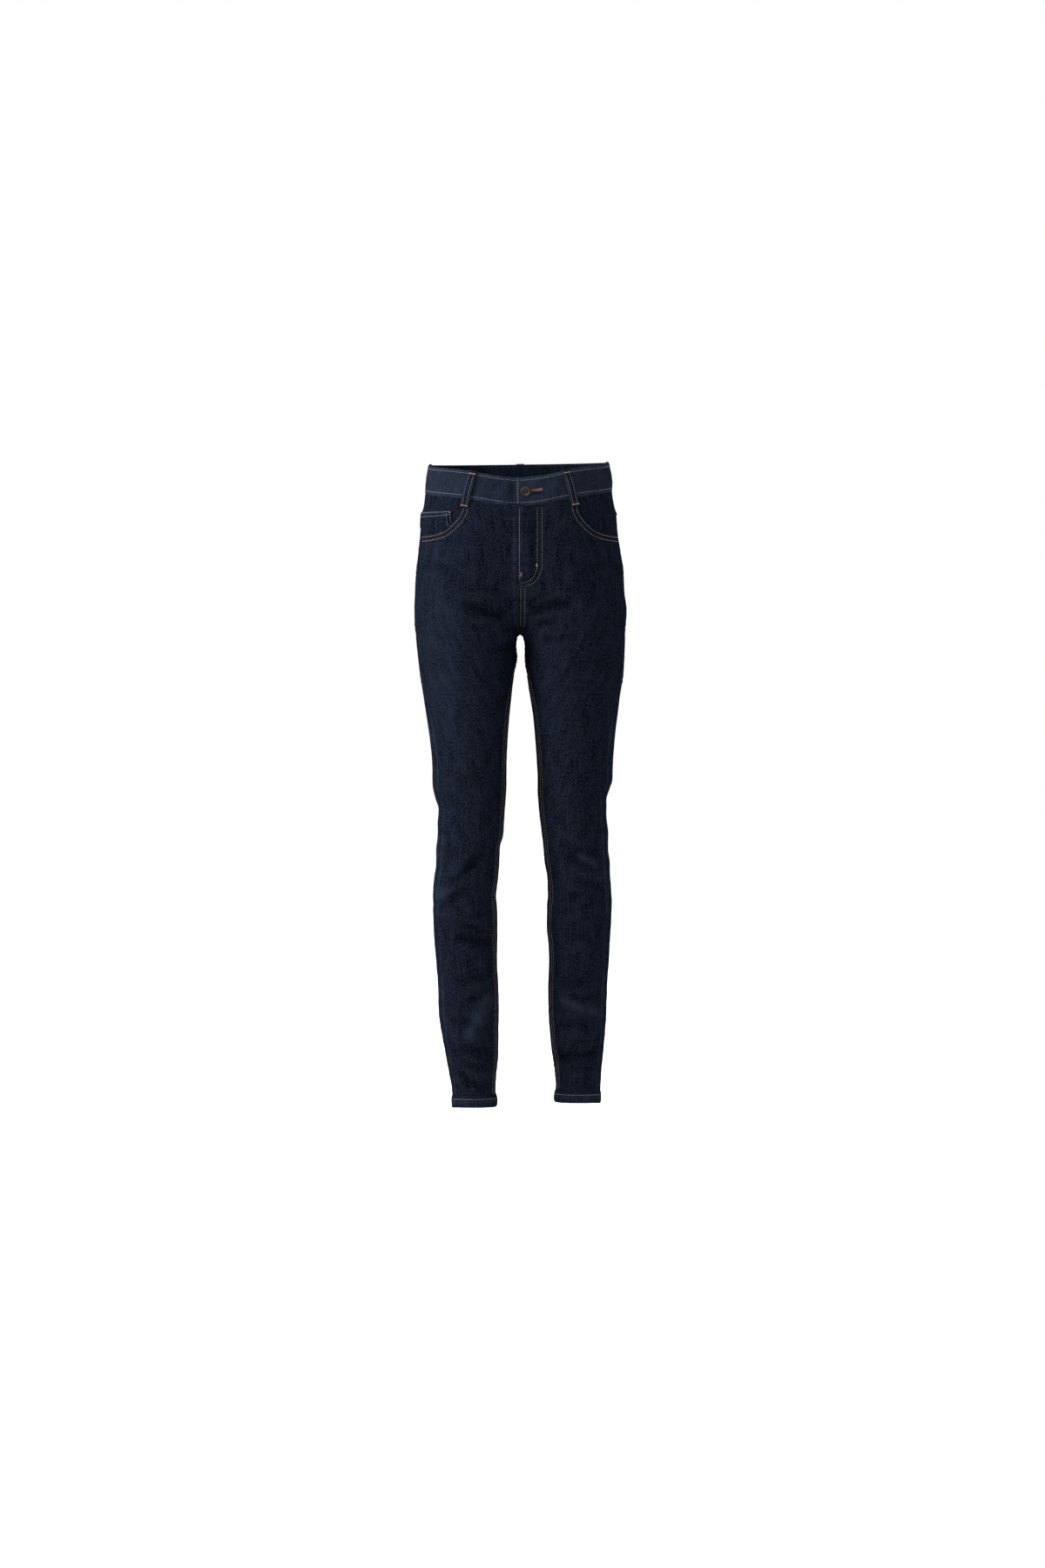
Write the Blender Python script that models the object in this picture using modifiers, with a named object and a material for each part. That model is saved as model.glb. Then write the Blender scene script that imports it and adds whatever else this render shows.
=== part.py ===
"""Slim five-pocket jeans, held in the shape they take when worn.

The cloth is a wall of denim. A skin function gives the garment's surface from tables of
sections, and every piece a maker would cut is a stretch of that skin with its own thickness,
set 0.3 mm from its neighbours at the seams. The origin is the centre of the waistband's ring,
the front faces -Y, +X is the wearer's left and +Z is up. Tables and sizes are in millimetres.
"""

import math
from collections import namedtuple

import bpy
from mathutils import Matrix, Vector

MM = 0.001

# Driving sizes, in millimetres
PANEL_THICK = 1.5
LAYER_THICK = 1.2
BAND_THICK = 3.0
BAND_OUT = 0.8
BAND_HEIGHT = 41.5
SEAM_GAP = 0.3
LAYER_GAP = 0.3
PATCH_GAP = 0.5
WAIST_SEAM_Z = -15.6
WAIST_ROLL = 0.014
WAIST_TILT_FRONT = 0.12
WAIST_TILT_BACK = 0.03
WAIST_DIP = 13.5
WAIST_DIP_REACH = 145.0
WAIST_DIP_POWER = 4.3
HEM_Z = -968.0
HEM_DROP_OUTER = 7.5
HEM_DROP_INNER = 4.5
HEM_DROP_FROM_Z = -860.0
HEM_HEIGHT = 18.0
FORK_Z = -238.0
FORK_Y = 5.0
RISE_CURVE_HEIGHT = 100.0
RISE_CURVE_FRONT = 101.0
RISE_CURVE_BACK = 113.0
FORK_ARCH = 5.0
FORK_EASE_Z = -300.0
SECTION_ROUND = 0.93
# Below the seat the back panels wrap a little way round to the front: how far the side seam and
# the inseam lie onto the front, as shares of its width, and the heights where that starts and ends
SIDE_SEAM_FORWARD = 0.15
SIDE_SEAM_TURN = (-200.0, -430.0)
INSEAM_FORWARD = 0.10
INSEAM_TURN = (-245.0, -360.0)
COLUMNS = 10
NORMAL_STEP_S = 0.004
NORMAL_STEP_Z = 0.4

SIDES = {"left": 1, "right": -1}

# Half widths of the garment seen from the front: the side seam and the inseam, each measured
# from the middle plane. Above the fork the inner edge is the middle plane itself.
Outline = namedtuple("Outline", "z outer inner")
OUTLINE = {
    "right": [
        Outline(40, 139.5, 0), Outline(21, 142.0, 0), Outline(0, 144.5, 0), Outline(-20, 147.0, 0),
        Outline(-40, 149.5, 0), Outline(-52, 153.0, 0), Outline(-75, 154.5, 0), Outline(-105, 157.5, 0),
        Outline(-137, 161.0, 0), Outline(-170, 163.0, 0), Outline(-202, 164.0, 0), Outline(-222, 163.5, 0),
        Outline(-238, 161.5, 0), Outline(-256, 160.0, 4.9), Outline(-272, 158.0, 2.5),
        Outline(-299, 155.0, 8.1), Outline(-332, 150.0, 12.5), Outline(-364, 145.0, 15.7),
        Outline(-397, 140.0, 18.3),
        Outline(-440, 136.0, 20.4), Outline(-468, 135.5, 20.4), Outline(-490, 131.0, 21.4),
        Outline(-507, 126.0, 23.0), Outline(-530, 127.5, 24.5), Outline(-549, 127.5, 26.0),
        Outline(-563, 129.5, 30.6), Outline(-590, 130.0, 31.6), Outline(-614, 133.0, 33.6),
        Outline(-640, 135.0, 36.7), Outline(-668, 135.0, 35.1), Outline(-700, 134.0, 34.6),
        Outline(-745, 130.5, 35.1), Outline(-788, 127.5, 33.1), Outline(-821, 127.0, 32.6),
        Outline(-854, 123.0, 33.1), Outline(-887, 117.0, 33.1), Outline(-920, 111.0, 36.2),
        Outline(-945, 106.5, 37.7), Outline(-968, 105.5, 36.5),
    ],
    "left": [
        Outline(40, 135.5, 0), Outline(21, 138.0, 0), Outline(0, 141.0, 0), Outline(-20, 142.5, 0),
        Outline(-40, 146.0, 0), Outline(-52, 149.0, 0), Outline(-75, 150.5, 0), Outline(-105, 155.0, 0),
        Outline(-137, 160.0, 0), Outline(-170, 161.5, 0), Outline(-202, 165.0, 0), Outline(-222, 163.5, 0),
        Outline(-238, 162.5, 0), Outline(-256, 162.0, 6.2), Outline(-278, 161.0, 6.2),
        Outline(-299, 160.0, 9.8), Outline(-332, 155.0, 14.1), Outline(-364, 151.0, 19.4),
        Outline(-397, 147.0, 22.5),
        Outline(-440, 144.0, 25.5), Outline(-462, 143.5, 26.5), Outline(-478, 138.5, 26.5),
        Outline(-494, 134.0, 27.6), Outline(-516, 134.0, 29.6), Outline(-549, 137.0, 33.6),
        Outline(-570, 137.0, 35.7), Outline(-592, 139.5, 37.7), Outline(-614, 140.0, 41.7),
        Outline(-640, 142.0, 42.7), Outline(-662, 143.0, 41.2), Outline(-690, 142.0, 40.7),
        Outline(-723, 140.0, 43.7), Outline(-745, 139.0, 44.7), Outline(-788, 136.5, 43.2),
        Outline(-821, 135.5, 43.7), Outline(-854, 134.0, 45.7), Outline(-887, 131.5, 48.7),
        Outline(-920, 128.0, 53.8), Outline(-945, 126.5, 55.8), Outline(-968, 126.0, 54.5),
    ],
}

# How far the front and the back of each half reach, seen from the side. The right knee and
# foot are a little in front of the left ones.
Depth = namedtuple("Depth", "z front back")
DEPTH = {
    "right": [
        Depth(40, -96, 101), Depth(0, -99, 103), Depth(-25, -100, 106), Depth(-60, -101, 114),
        Depth(-100, -101, 124), Depth(-140, -99, 131), Depth(-170, -97, 131), Depth(-205, -95, 121),
        Depth(-238, -93, 105), Depth(-260, -92, 94), Depth(-300, -92, 80), Depth(-350, -93, 64),
        Depth(-400, -94, 50), Depth(-450, -96, 40), Depth(-500, -97, 31), Depth(-550, -98, 24),
        Depth(-600, -99, 20), Depth(-650, -96, 22), Depth(-700, -90, 30), Depth(-750, -84, 35),
        Depth(-800, -77, 37), Depth(-850, -71, 36), Depth(-900, -65, 36), Depth(-968, -59, 37),
    ],
    "left": [
        Depth(40, -96, 101), Depth(0, -99, 103), Depth(-25, -100, 106), Depth(-60, -101, 114),
        Depth(-100, -101, 124), Depth(-140, -99, 131), Depth(-170, -97, 131), Depth(-205, -95, 121),
        Depth(-238, -92, 105), Depth(-260, -90, 96), Depth(-300, -86, 86), Depth(-350, -82, 74),
        Depth(-400, -78, 66), Depth(-450, -74, 62), Depth(-500, -70, 58), Depth(-550, -67, 55),
        Depth(-600, -64, 54), Depth(-650, -59, 58), Depth(-700, -52, 68), Depth(-750, -45, 74),
        Depth(-800, -37, 78), Depth(-850, -29, 79), Depth(-900, -21, 80), Depth(-968, -13, 83),
    ],
}

# The centre seams above the curved part of the rise
Rise = namedtuple("Rise", "z front back")
RISE = [
    Rise(40, -96, 101), Rise(0, -99, 103), Rise(-40, -100.5, 107), Rise(-60, -100.5, 111),
    Rise(-100, -99, 117), Rise(-138, -96, 118),
]

# Where the front and back stand out most, as a share of the way from the inner edge to the
# side, and how flatly the cloth bridges from there to the centre seam
Form = namedtuple("Form", "z front_peak back_peak front_bridge back_bridge")
FORM = [
    Form(40, 0.18, 0.20, 1.0, 1.0), Form(-25, 0.20, 0.27, 1.0, 1.0), Form(-60, 0.23, 0.36, 1.0, 1.0),
    Form(-100, 0.30, 0.43, 1.0, 1.0), Form(-140, 0.37, 0.46, 1.0, 0.9), Form(-190, 0.46, 0.49, 0.85, 0.6),
    Form(-220, 0.50, 0.50, 0.4, 0.3), Form(-238, 0.51, 0.50, 0.0, 0.0), Form(-280, 0.50, 0.50, 0.0, 0.0),
    Form(-968, 0.50, 0.50, 0.0, 0.0),
]

# Where folds fade out, as distances in front of or behind the side seam, and how many half
# widths away a fold still counts
FOLD_FACING = (-10.0, 25.0)
FOLD_REACH = 3.0

# Largest folds, as straight troughs (depth above 0) or ridges (below 0) across the cloth seen
# from the front or the back: both ends, the half width and the depth
Fold = namedtuple("Fold", "side face x1 z1 x2 z2 width depth")
FOLDS = [
    Fold("right", "front", -82, -193, -30, -208, 7, 2.4),
    Fold("left", "front", 22, -204, 74, -189, 7, 2.2),
    Fold("left", "front", 30, -222, 56, -216, 6, 1.6),
    Fold("right", "front", -72, -590, -108, -618, 8, 3.4),
    Fold("right", "front", -90, -594, -120, -636, 8, -2.6),
    Fold("right", "front", -50, -708, -92, -704, 8, 2.6),
    Fold("right", "front", -58, -765, -84, -770, 7, 1.8),
    Fold("right", "front", -50, -800, -78, -856, 10, -2.4),
    Fold("right", "front", -56, -878, -92, -878, 8, 2.4),
    Fold("right", "front", -58, -940, -92, -918, 6, 1.8),
    Fold("left", "front", 98, -580, 124, -606, 8, -2.6),
    Fold("left", "front", 78, -582, 124, -604, 6, 2.6),
    Fold("left", "front", 80, -642, 90, -642, 7, 1.8),
    Fold("left", "front", 70, -778, 94, -776, 8, 2.4),
    Fold("left", "front", 68, -806, 116, -824, 8, -2.2),
    Fold("left", "front", 64, -896, 114, -888, 8, 2.6),
    Fold("right", "back", -60, -218, -120, -232, 10, 3.0),
    Fold("left", "back", 60, -218, 120, -232, 10, 3.0),
    Fold("right", "back", -50, -566, -118, -578, 9, 3.2),
    Fold("right", "back", -56, -604, -124, -598, 9, 3.0),
    Fold("right", "back", -52, -640, -104, -648, 8, 2.4),
    Fold("left", "back", 56, -570, 124, -562, 9, 3.2),
    Fold("left", "back", 58, -600, 130, -610, 9, 3.0),
    Fold("left", "back", 70, -648, 126, -640, 8, 2.4),
    Fold("right", "back", -50, -880, -96, -872, 8, 2.2),
    Fold("left", "back", 68, -872, 112, -884, 8, 2.2),
]

# Heights of the rows of a leg panel: each stretch ends at a height and has so many equal rows
Stretch = namedtuple("Stretch", "end rows")
UPPER_STRETCHES = {
    "front": [Stretch(-90, 5), Stretch(-150, 4), Stretch(-198, 4)],
    "back": [Stretch(-90, 2), Stretch(-150, 4), Stretch(-198, 4)],
}
FORK_ROWS = [-208, -217, -225, -231, -235, -237, FORK_Z, -240, -244, -250, -258, -270]
LOWER_STRETCHES = [
    Stretch(-450, 6), Stretch(-558, 5), Stretch(-656, 7), Stretch(-760, 5),
    Stretch(-900, 7), Stretch(HEM_Z + HEM_HEIGHT, 2),
]

# The hand pocket's mouth, seen from the front, from the waist seam out to the side seam
Mouth = namedtuple("Mouth", "x z")
POCKET_MOUTH = [
    Mouth(88, -30), Mouth(90, -46), Mouth(94.5, -56), Mouth(104, -67), Mouth(117.5, -77.5),
    Mouth(135, -82.5), Mouth(160, -84.5),
]
POCKET_CORNER_X = 88.0
POCKET_COLUMNS = 6
EVEN_COLUMNS_FROM_Z = -95.0
EVEN_COLUMNS_TO_Z = -150.0
EVEN_ROWS_FROM_Z = -150.0
TOP_COLUMN_SHARES = [0.0, 0.29, 0.55, 0.73, 0.86, 0.95, 1.0]

YOKE_SIDE = 38.0
YOKE_CENTRE = 62.0
YOKE_ROWS = 3


COIN_TOP_Z = -49.0
COIN_COLUMNS = 4
COIN_ROW = 2
FACING_ROWS = 5
FACING_RISE = 16.0
FACING_FIRST_ROW = 0.4

BACK_POCKET_FIRST_ROW = 2
BACK_POCKET_LAST_ROW = 11
BACK_POCKET_FIRST_COLUMN = 3.05
BACK_POCKET_LAST_COLUMN = 7.75
BACK_POCKET_TAPER = 0.35
BACK_POCKET_POINT = 0.85
BACK_POCKET_HEM = 0.14

FLY_COLUMNS = 3
FLY_ROWS = 6
ZIP_FROM_X = 2.0
ZIP_TO_X = 27.0
ZIP_END_Z = -156.0
SHIELD_FROM_X = -9.0
SHIELD_TO_X = 31.0
SHIELD_END_Z = -164.0

BAND_LAP = 5.5
BAND_UNDERLAP = 28.0
BAND_BUTTON_STEPS = (8.6, 17.0)
BAND_FRONT_COLUMNS = 9
BAND_DIVE = ((-22.0, 0.0), (-15.0, 0.5), (-8.0, 1.0))
BAND_ROW_SHARES = (0.0, 0.34, 0.68, 0.95, 1.0)
BAND_RIM_SHARE = 0.2

BUTTON_X = 8.6
BUTTON_STEPS = 20
BUTTON_EYE = 5.4
BUTTONHOLE_LENGTH = 15.0
BUTTONHOLE_SLIT = 0.8
BUTTON_STEM_HOLE = 3.2
# Radius and height along the axis, from the cap's middle round to the back plate's middle
BUTTON_PROFILE = [
    (0.0, 2.3), (4.9, 2.2), (5.4, 2.6), (6.6, 2.8), (7.4, 2.3), (7.6, 1.5), (7.3, 0.5), (6.4, 0.3),
    (2.3, 0.3), (2.3, -3.0), (1.2, -3.1), (1.2, -6.7), (4.4, -6.7), (4.5, -7.2), (4.0, -7.6), (0.0, -7.7),
]

LOOP_WIDTH = 12.0
LOOP_THICK = 1.5
LOOP_COLUMNS = 2
LOOP_SIDE_ARC = 250.0
LoopRow = namedtuple("LoopRow", "height out")
LOOP_PROFILE = [
    LoopRow(43.0, 0.6), LoopRow(38.0, 0.6), LoopRow(34.0, 2.2), LoopRow(27.0, 3.0), LoopRow(13.0, 3.0),
    LoopRow(5.0, 2.2), LoopRow(0.0, 0.8), LoopRow(-6.0, 0.2), LoopRow(-14.0, 0.0),
]
Loop = namedtuple("Loop", "name side face x_top x_bottom s")
LOOPS = [
    Loop("loop_front_right", "right", "front", 72.0, 84.0, 0.0),
    Loop("loop_front_left", "left", "front", 70.0, 82.5, 0.0),
    Loop("loop_side_right", "right", "back", 0.0, 0.0, 0.14),
    Loop("loop_side_left", "left", "back", 0.0, 0.0, 0.14),
    Loop("loop_back", "left", "back", 0.0, 0.0, 1.0),
]

HemRow = namedtuple("HemRow", "height out inside")
HEM_PROFILE = [
    HemRow(17.85, 0.9, -2.1), HemRow(11.0, 1.3, -2.1), HemRow(3.0, 1.0, -2.0), HemRow(0.0, -0.1, -1.3),
]


def curve_through(table, column):
    """A function of height: a smooth curve through one column of a table, without overshoot."""
    rows = sorted(table, key=lambda row: row[0])
    keys = [float(row[0]) for row in rows]
    values = [float(getattr(row, column)) for row in rows]
    steps = [b - a for a, b in zip(keys, keys[1:])]
    slopes = [(b - a) / step for a, b, step in zip(values, values[1:], steps)]
    tangents = [slopes[0]]
    for i in range(1, len(slopes)):
        before, after = slopes[i - 1], slopes[i]
        if before * after <= 0.0:
            tangents.append(0.0)
            continue
        w1, w2 = 2 * steps[i] + steps[i - 1], steps[i] + 2 * steps[i - 1]
        tangents.append((w1 + w2) / (w1 / before + w2 / after))
    tangents.append(slopes[-1])

    def at(key):
        key = min(max(key, keys[0]), keys[-1])
        i = min(max(sum(1 for k in keys if k <= key) - 1, 0), len(steps) - 1)
        t = (key - keys[i]) / steps[i]
        return (
            (2 * t**3 - 3 * t**2 + 1) * values[i]
            + (t**3 - 2 * t**2 + t) * steps[i] * tangents[i]
            + (3 * t**2 - 2 * t**3) * values[i + 1]
            + (t**3 - t**2) * steps[i] * tangents[i + 1]
        )

    return at


OUTER = {side: curve_through(OUTLINE[side], "outer") for side in SIDES}
INNER = {side: curve_through([row for row in OUTLINE[side] if row.z <= FORK_Z], "inner") for side in SIDES}
EDGE = {(side, face): curve_through(DEPTH[side], face) for side in SIDES for face in ("front", "back")}
CENTRE = {face: curve_through(RISE, face) for face in ("front", "back")}
PEAK = {face: curve_through(FORM, face + "_peak") for face in ("front", "back")}
BRIDGE = {face: curve_through(FORM, face + "_bridge") for face in ("front", "back")}
MOUTH_Z = curve_through(POCKET_MOUTH, "z")
RISE_REACH = {"front": -RISE_CURVE_FRONT, "back": RISE_CURVE_BACK}


def eased(value, start, end):
    """0 at start, 1 at end, with a soft beginning and end."""
    t = min(max((value - start) / (end - start), 0.0), 1.0)
    return t * t * (3 - 2 * t)


def centre_y(face, z):
    """Where a centre seam crosses the middle plane at a height above the fork."""
    rise = (z - FORK_Z) / RISE_CURVE_HEIGHT
    if rise >= 1.0:
        return CENTRE[face](z)
    return FORK_Y + RISE_REACH[face] * math.sqrt(max(1 - (1 - rise) ** 2, 0.0))


def arch_gap(y, z):
    """Half the space between the legs below the curved rise, at a depth and a height."""
    reach = RISE_REACH["front"] if y < FORK_Y else RISE_REACH["back"]
    share = min(abs((y - FORK_Y) / reach), 1.0)
    rise_z = FORK_Z + RISE_CURVE_HEIGHT * (1 - math.sqrt(1 - share * share))
    drop = min(max(rise_z - z, 0.0), FORK_ARCH)
    return math.sqrt(max(FORK_ARCH**2 - (FORK_ARCH - drop) ** 2, 0.0))


def base_point(side, face, s, z):
    """The unfolded skin: s runs from 0 at the side to 1 at the middle plane or the leg's inner side."""
    outer = OUTER[side](z)
    edge = EDGE[side, face](z)
    y_side = 0.5 * (EDGE[side, "front"](z) + EDGE[side, "back"](z))
    if z > FORK_Z:
        inner, y_inner = 0.0, centre_y(face, z)
    else:
        inner, y_inner = INNER[side](z), y_side + (FORK_Y - y_side) * eased(z, FORK_EASE_Z, FORK_Z)
    share = PEAK[face](z)
    peak = inner + (outer - inner) * share
    turn = 1.0 - share
    if s <= turn:
        angle = 0.5 * math.pi * s / turn
        x = peak + (outer - peak) * math.cos(angle) ** SECTION_ROUND if s < turn else peak
        y = y_side + (edge - y_side) * math.sin(angle) ** SECTION_ROUND
    else:
        u = min((s - turn) / share, 1.0)
        angle = 0.5 * math.pi * u
        bridge = BRIDGE[face](z)
        fall = max(math.cos(angle), 0.0) ** SECTION_ROUND
        across = (1 - bridge) * math.sin(angle) ** SECTION_ROUND + bridge * u
        along = (1 - bridge) * fall + bridge * 0.5 * (1 + math.cos(math.pi * u))
        x = peak + (inner - peak) * across
        y = y_inner + (edge - y_inner) * along
    x = math.hypot(x, arch_gap(y, z))
    return Vector((SIDES[side] * x, y, z))


def base_normal(side, face, s, z):
    """The way out of the unfolded skin."""
    if s >= 1.0 and z >= FORK_Z:
        if z == FORK_Z:
            return Vector((0, 0, -1))
        high, low = z + NORMAL_STEP_Z, max(z - NORMAL_STEP_Z, FORK_Z)
        dy = centre_y(face, high) - centre_y(face, low)
        way = Vector((0, high - low, -dy))
        return (way if face == "back" else -way).normalized()
    s_lo, s_hi = max(s - NORMAL_STEP_S, 0.0), min(s + NORMAL_STEP_S, 1.0)
    z_lo, z_hi = z - NORMAL_STEP_Z, z + NORMAL_STEP_Z
    if z > FORK_Z:
        z_lo = max(z_lo, FORK_Z + NORMAL_STEP_Z / 40)
    else:
        z_hi = min(z_hi, FORK_Z)
    across = base_point(side, face, s_hi, z) - base_point(side, face, s_lo, z)
    up = base_point(side, face, s, z_hi) - base_point(side, face, s, z_lo)
    way = across.cross(up)
    turn = SIDES[side] * (1 if face == "front" else -1)
    return (way * -turn).normalized()


def fold_depth(side, face, point):
    """How far the folds draw the cloth in at a point of the skin."""
    total = 0.0
    y_side = 0.5 * (EDGE[side, "front"](point.z) + EDGE[side, "back"](point.z))
    for fold in FOLDS:
        if fold.side != side:
            continue
        reach = fold.width * FOLD_REACH
        if not min(fold.z1, fold.z2) - reach < point.z < max(fold.z1, fold.z2) + reach:
            continue
        toward = point.y - y_side if fold.face == "back" else y_side - point.y
        facing = eased(toward, *FOLD_FACING)
        start, end = Vector((fold.x1, fold.z1)), Vector((fold.x2, fold.z2))
        line = end - start
        here = Vector((point.x, point.z))
        share = min(max((here - start).dot(line) / line.length_squared, 0.0), 1.0)
        away = (here - start - line * share).length / fold.width
        total += facing * fold.depth * math.exp(-away * away)
    return total


def seam_place(face, s, z):
    """The face and s of the unfolded skin under a place on a panel, whose own s runs seam to seam."""
    outer = SIDE_SEAM_FORWARD * eased(z, *SIDE_SEAM_TURN)
    inner = INSEAM_FORWARD * eased(z, *INSEAM_TURN)
    if face == "front":
        return face, outer + (1 - outer - inner) * s
    s = (1 + outer + inner) * s - outer
    if s < 0.0:
        return "front", -s
    return ("front", 2 - s) if s > 1.0 else (face, s)


Spot = namedtuple("Spot", "point normal")


def skin(side, face, s, z, out=0.0):
    """A spot on the folded skin, moved out by a distance."""
    face, s = seam_place(face, s, z)
    point = base_point(side, face, s, z)
    normal = base_normal(side, face, s, z)
    return Spot(point + normal * (out - fold_depth(side, face, point)), normal)


def waist_z(side, face, s):
    """Height of the waistband's lower edge at a place around the body: low in front, high behind."""
    z = WAIST_SEAM_Z
    for _ in range(4):
        point = base_point(side, face, s, z)
        tilt = WAIST_TILT_FRONT if point.y < 0 else WAIST_TILT_BACK
        z = WAIST_SEAM_Z + tilt * point.y + WAIST_ROLL * point.x
        if point.y < 0:
            across = min(abs(point.x) / WAIST_DIP_REACH, 1.0)
            z -= WAIST_DIP * (1 - across**2) ** WAIST_DIP_POWER
    return z


def share_at_x(side, face, x, z):
    """The s of the spot that lies at a distance from the middle plane, at one height."""
    low, high = 0.0, 1.0
    for _ in range(30):
        middle = 0.5 * (low + high)
        if abs(base_point(side, face, middle, z).x) > x:
            low = middle
        else:
            high = middle
    return 0.5 * (low + high)


def mouth_z(side, s):
    """Height of the hand pocket's mouth at a place on the front."""
    z = POCKET_MOUTH[-1].z
    for _ in range(8):
        z = MOUTH_Z(abs(base_point(side, "front", s, z).x))
    return z


def top_shares(side, face):
    """The s of each column at the top of a panel: on a front, one column meets the pocket's corner."""
    if face == "back":
        return [j / COLUMNS for j in range(COLUMNS + 1)]
    corner = share_at_x(side, face, POCKET_CORNER_X, POCKET_MOUTH[0].z)
    rest = COLUMNS - POCKET_COLUMNS
    return [corner * share for share in TOP_COLUMN_SHARES] + [
        corner + (1 - corner) * (j + 1) / rest for j in range(rest)
    ]


def top_z(side, face, column, s):
    """Height of a panel's upper edge at a column."""
    if face == "back":
        return waist_z(side, face, s) - YOKE_SIDE - (YOKE_CENTRE - YOKE_SIDE) * s
    return mouth_z(side, s) if column < POCKET_COLUMNS else waist_z(side, face, s)


def row_heights(face, start):
    """Heights of a panel's rows, from a start down to the hem."""
    heights = [start]
    for stretch in UPPER_STRETCHES[face]:
        first = heights[-1]
        heights += [first + (stretch.end - first) * (i + 1) / stretch.rows for i in range(stretch.rows)]
    heights += FORK_ROWS
    for stretch in LOWER_STRETCHES:
        first = heights[-1]
        heights += [first + (stretch.end - first) * (i + 1) / stretch.rows for i in range(stretch.rows)]
    return heights


def panel_place(side, face, column, top, height, start):
    """The s and the height of one grid spot: columns even out below the pocket and the seat."""
    share = min((start - height) / (start - EVEN_ROWS_FROM_Z), 1.0)
    z = height if share == 1.0 else top.z + (EVEN_ROWS_FROM_Z - top.z) * share
    s = top.s + (column / COLUMNS - top.s) * eased(z, EVEN_COLUMNS_FROM_Z, EVEN_COLUMNS_TO_Z)
    return s, z - hem_drop(face, s) * eased(z, HEM_DROP_FROM_Z, HEM_Z)


def hem_drop(face, s):
    """How much lower a hem hangs at the sides of a leg than at its front and back."""
    s = seam_place(face, s, HEM_Z)[1]
    return (HEM_DROP_OUTER + (HEM_DROP_INNER - HEM_DROP_OUTER) * s) * (2 * s - 1) ** 2


Top = namedtuple("Top", "s z")


def panel_spots(side, face):
    """The spots of a leg panel, row by row from its upper edge to the hem seam."""
    start = WAIST_SEAM_Z if face == "front" else WAIST_SEAM_Z - YOKE_SIDE
    tops = [Top(s, top_z(side, face, j, s)) for j, s in enumerate(top_shares(side, face))]
    return [
        [skin(side, face, *panel_place(side, face, j, top, height, start)) for j, top in enumerate(tops)]
        for height in row_heights(face, start)
    ]


def between(a, b, share):
    """A spot part of the way from one spot to another."""
    return Spot(a.point.lerp(b.point, share), a.normal.lerp(b.normal, share).normalized())


def spot_on(spots, row, column):
    """A spot on a panel's flat facets, at a fractional row and column of its grid."""
    i, j = min(int(row), len(spots) - 2), min(int(column), len(spots[0]) - 2)
    upper = between(spots[i][j], spots[i][j + 1], column - j)
    lower = between(spots[i + 1][j], spots[i + 1][j + 1], column - j)
    return between(upper, lower, row - i)


def moved(spots, out):
    """The points of a grid of spots, moved out from the cloth."""
    return [[spot.point + spot.normal * out for spot in row] for row in spots]


def pulled_in(spots, edges="tbse"):
    """Draw the edges of a grid back by half a seam gap: t top, b bottom, s first, e last column."""
    last_row, last_column = len(spots) - 1, len(spots[0]) - 1
    result = [list(row) for row in spots]
    for i, row in enumerate(spots):
        for j, spot in enumerate(row):
            shift = Vector((0, 0, 0))
            inner_row = next_inside(i, last_row, edges, "tb")
            inner_column = next_inside(j, last_column, edges, "se")
            if inner_row is not None:
                along = row[min(j + 1, last_column)].point - row[max(j - 1, 0)].point
                shift += side_step(spot, along, spots[inner_row][j].point)
            if inner_column is not None:
                along = spots[min(i + 1, last_row)][j].point - spots[max(i - 1, 0)][j].point
                if abs(spot.point.x) < 1e-6 and abs(spot.point.z - FORK_Z) < 1e-6:
                    away = row[inner_column].point
                    corner = Vector((math.copysign(1, away.x), math.copysign(1, away.y - FORK_Y), 0))
                    shift += corner * SEAM_GAP / 2
                else:
                    shift += side_step(spot, along, row[inner_column].point)
            result[i][j] = Spot(spot.point + shift, spot.normal)
    return result


def next_inside(index, last, edges, names):
    """The neighbour inside a grid of a row or column on an edge to pull in, or None elsewhere."""
    if index == 0 and names[0] in edges:
        return 1
    if index == last and names[1] in edges:
        return last - 1
    return None


def side_step(spot, along, inside):
    """Half a seam gap, square to an edge and along the cloth, toward a point inside the piece."""
    step = spot.normal.cross(along).normalized() * SEAM_GAP / 2
    return step if step.dot(inside - spot.point) > 0 else -step


def make_material(name, colour, roughness, metallic=0.0):
    """A plain Principled material."""
    material = bpy.data.materials.new(name)
    material.use_nodes = True
    shader = next(n for n in material.node_tree.nodes if n.type == "BSDF_PRINCIPLED")
    shader.inputs["Base Color"].default_value = (*colour, 1.0)
    shader.inputs["Roughness"].default_value = roughness
    shader.inputs["Metallic"].default_value = metallic
    return material


def make_collection(name):
    """A new collection in the scene."""
    collection = bpy.data.collections.new(name)
    bpy.context.scene.collection.children.link(collection)
    return collection


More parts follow.
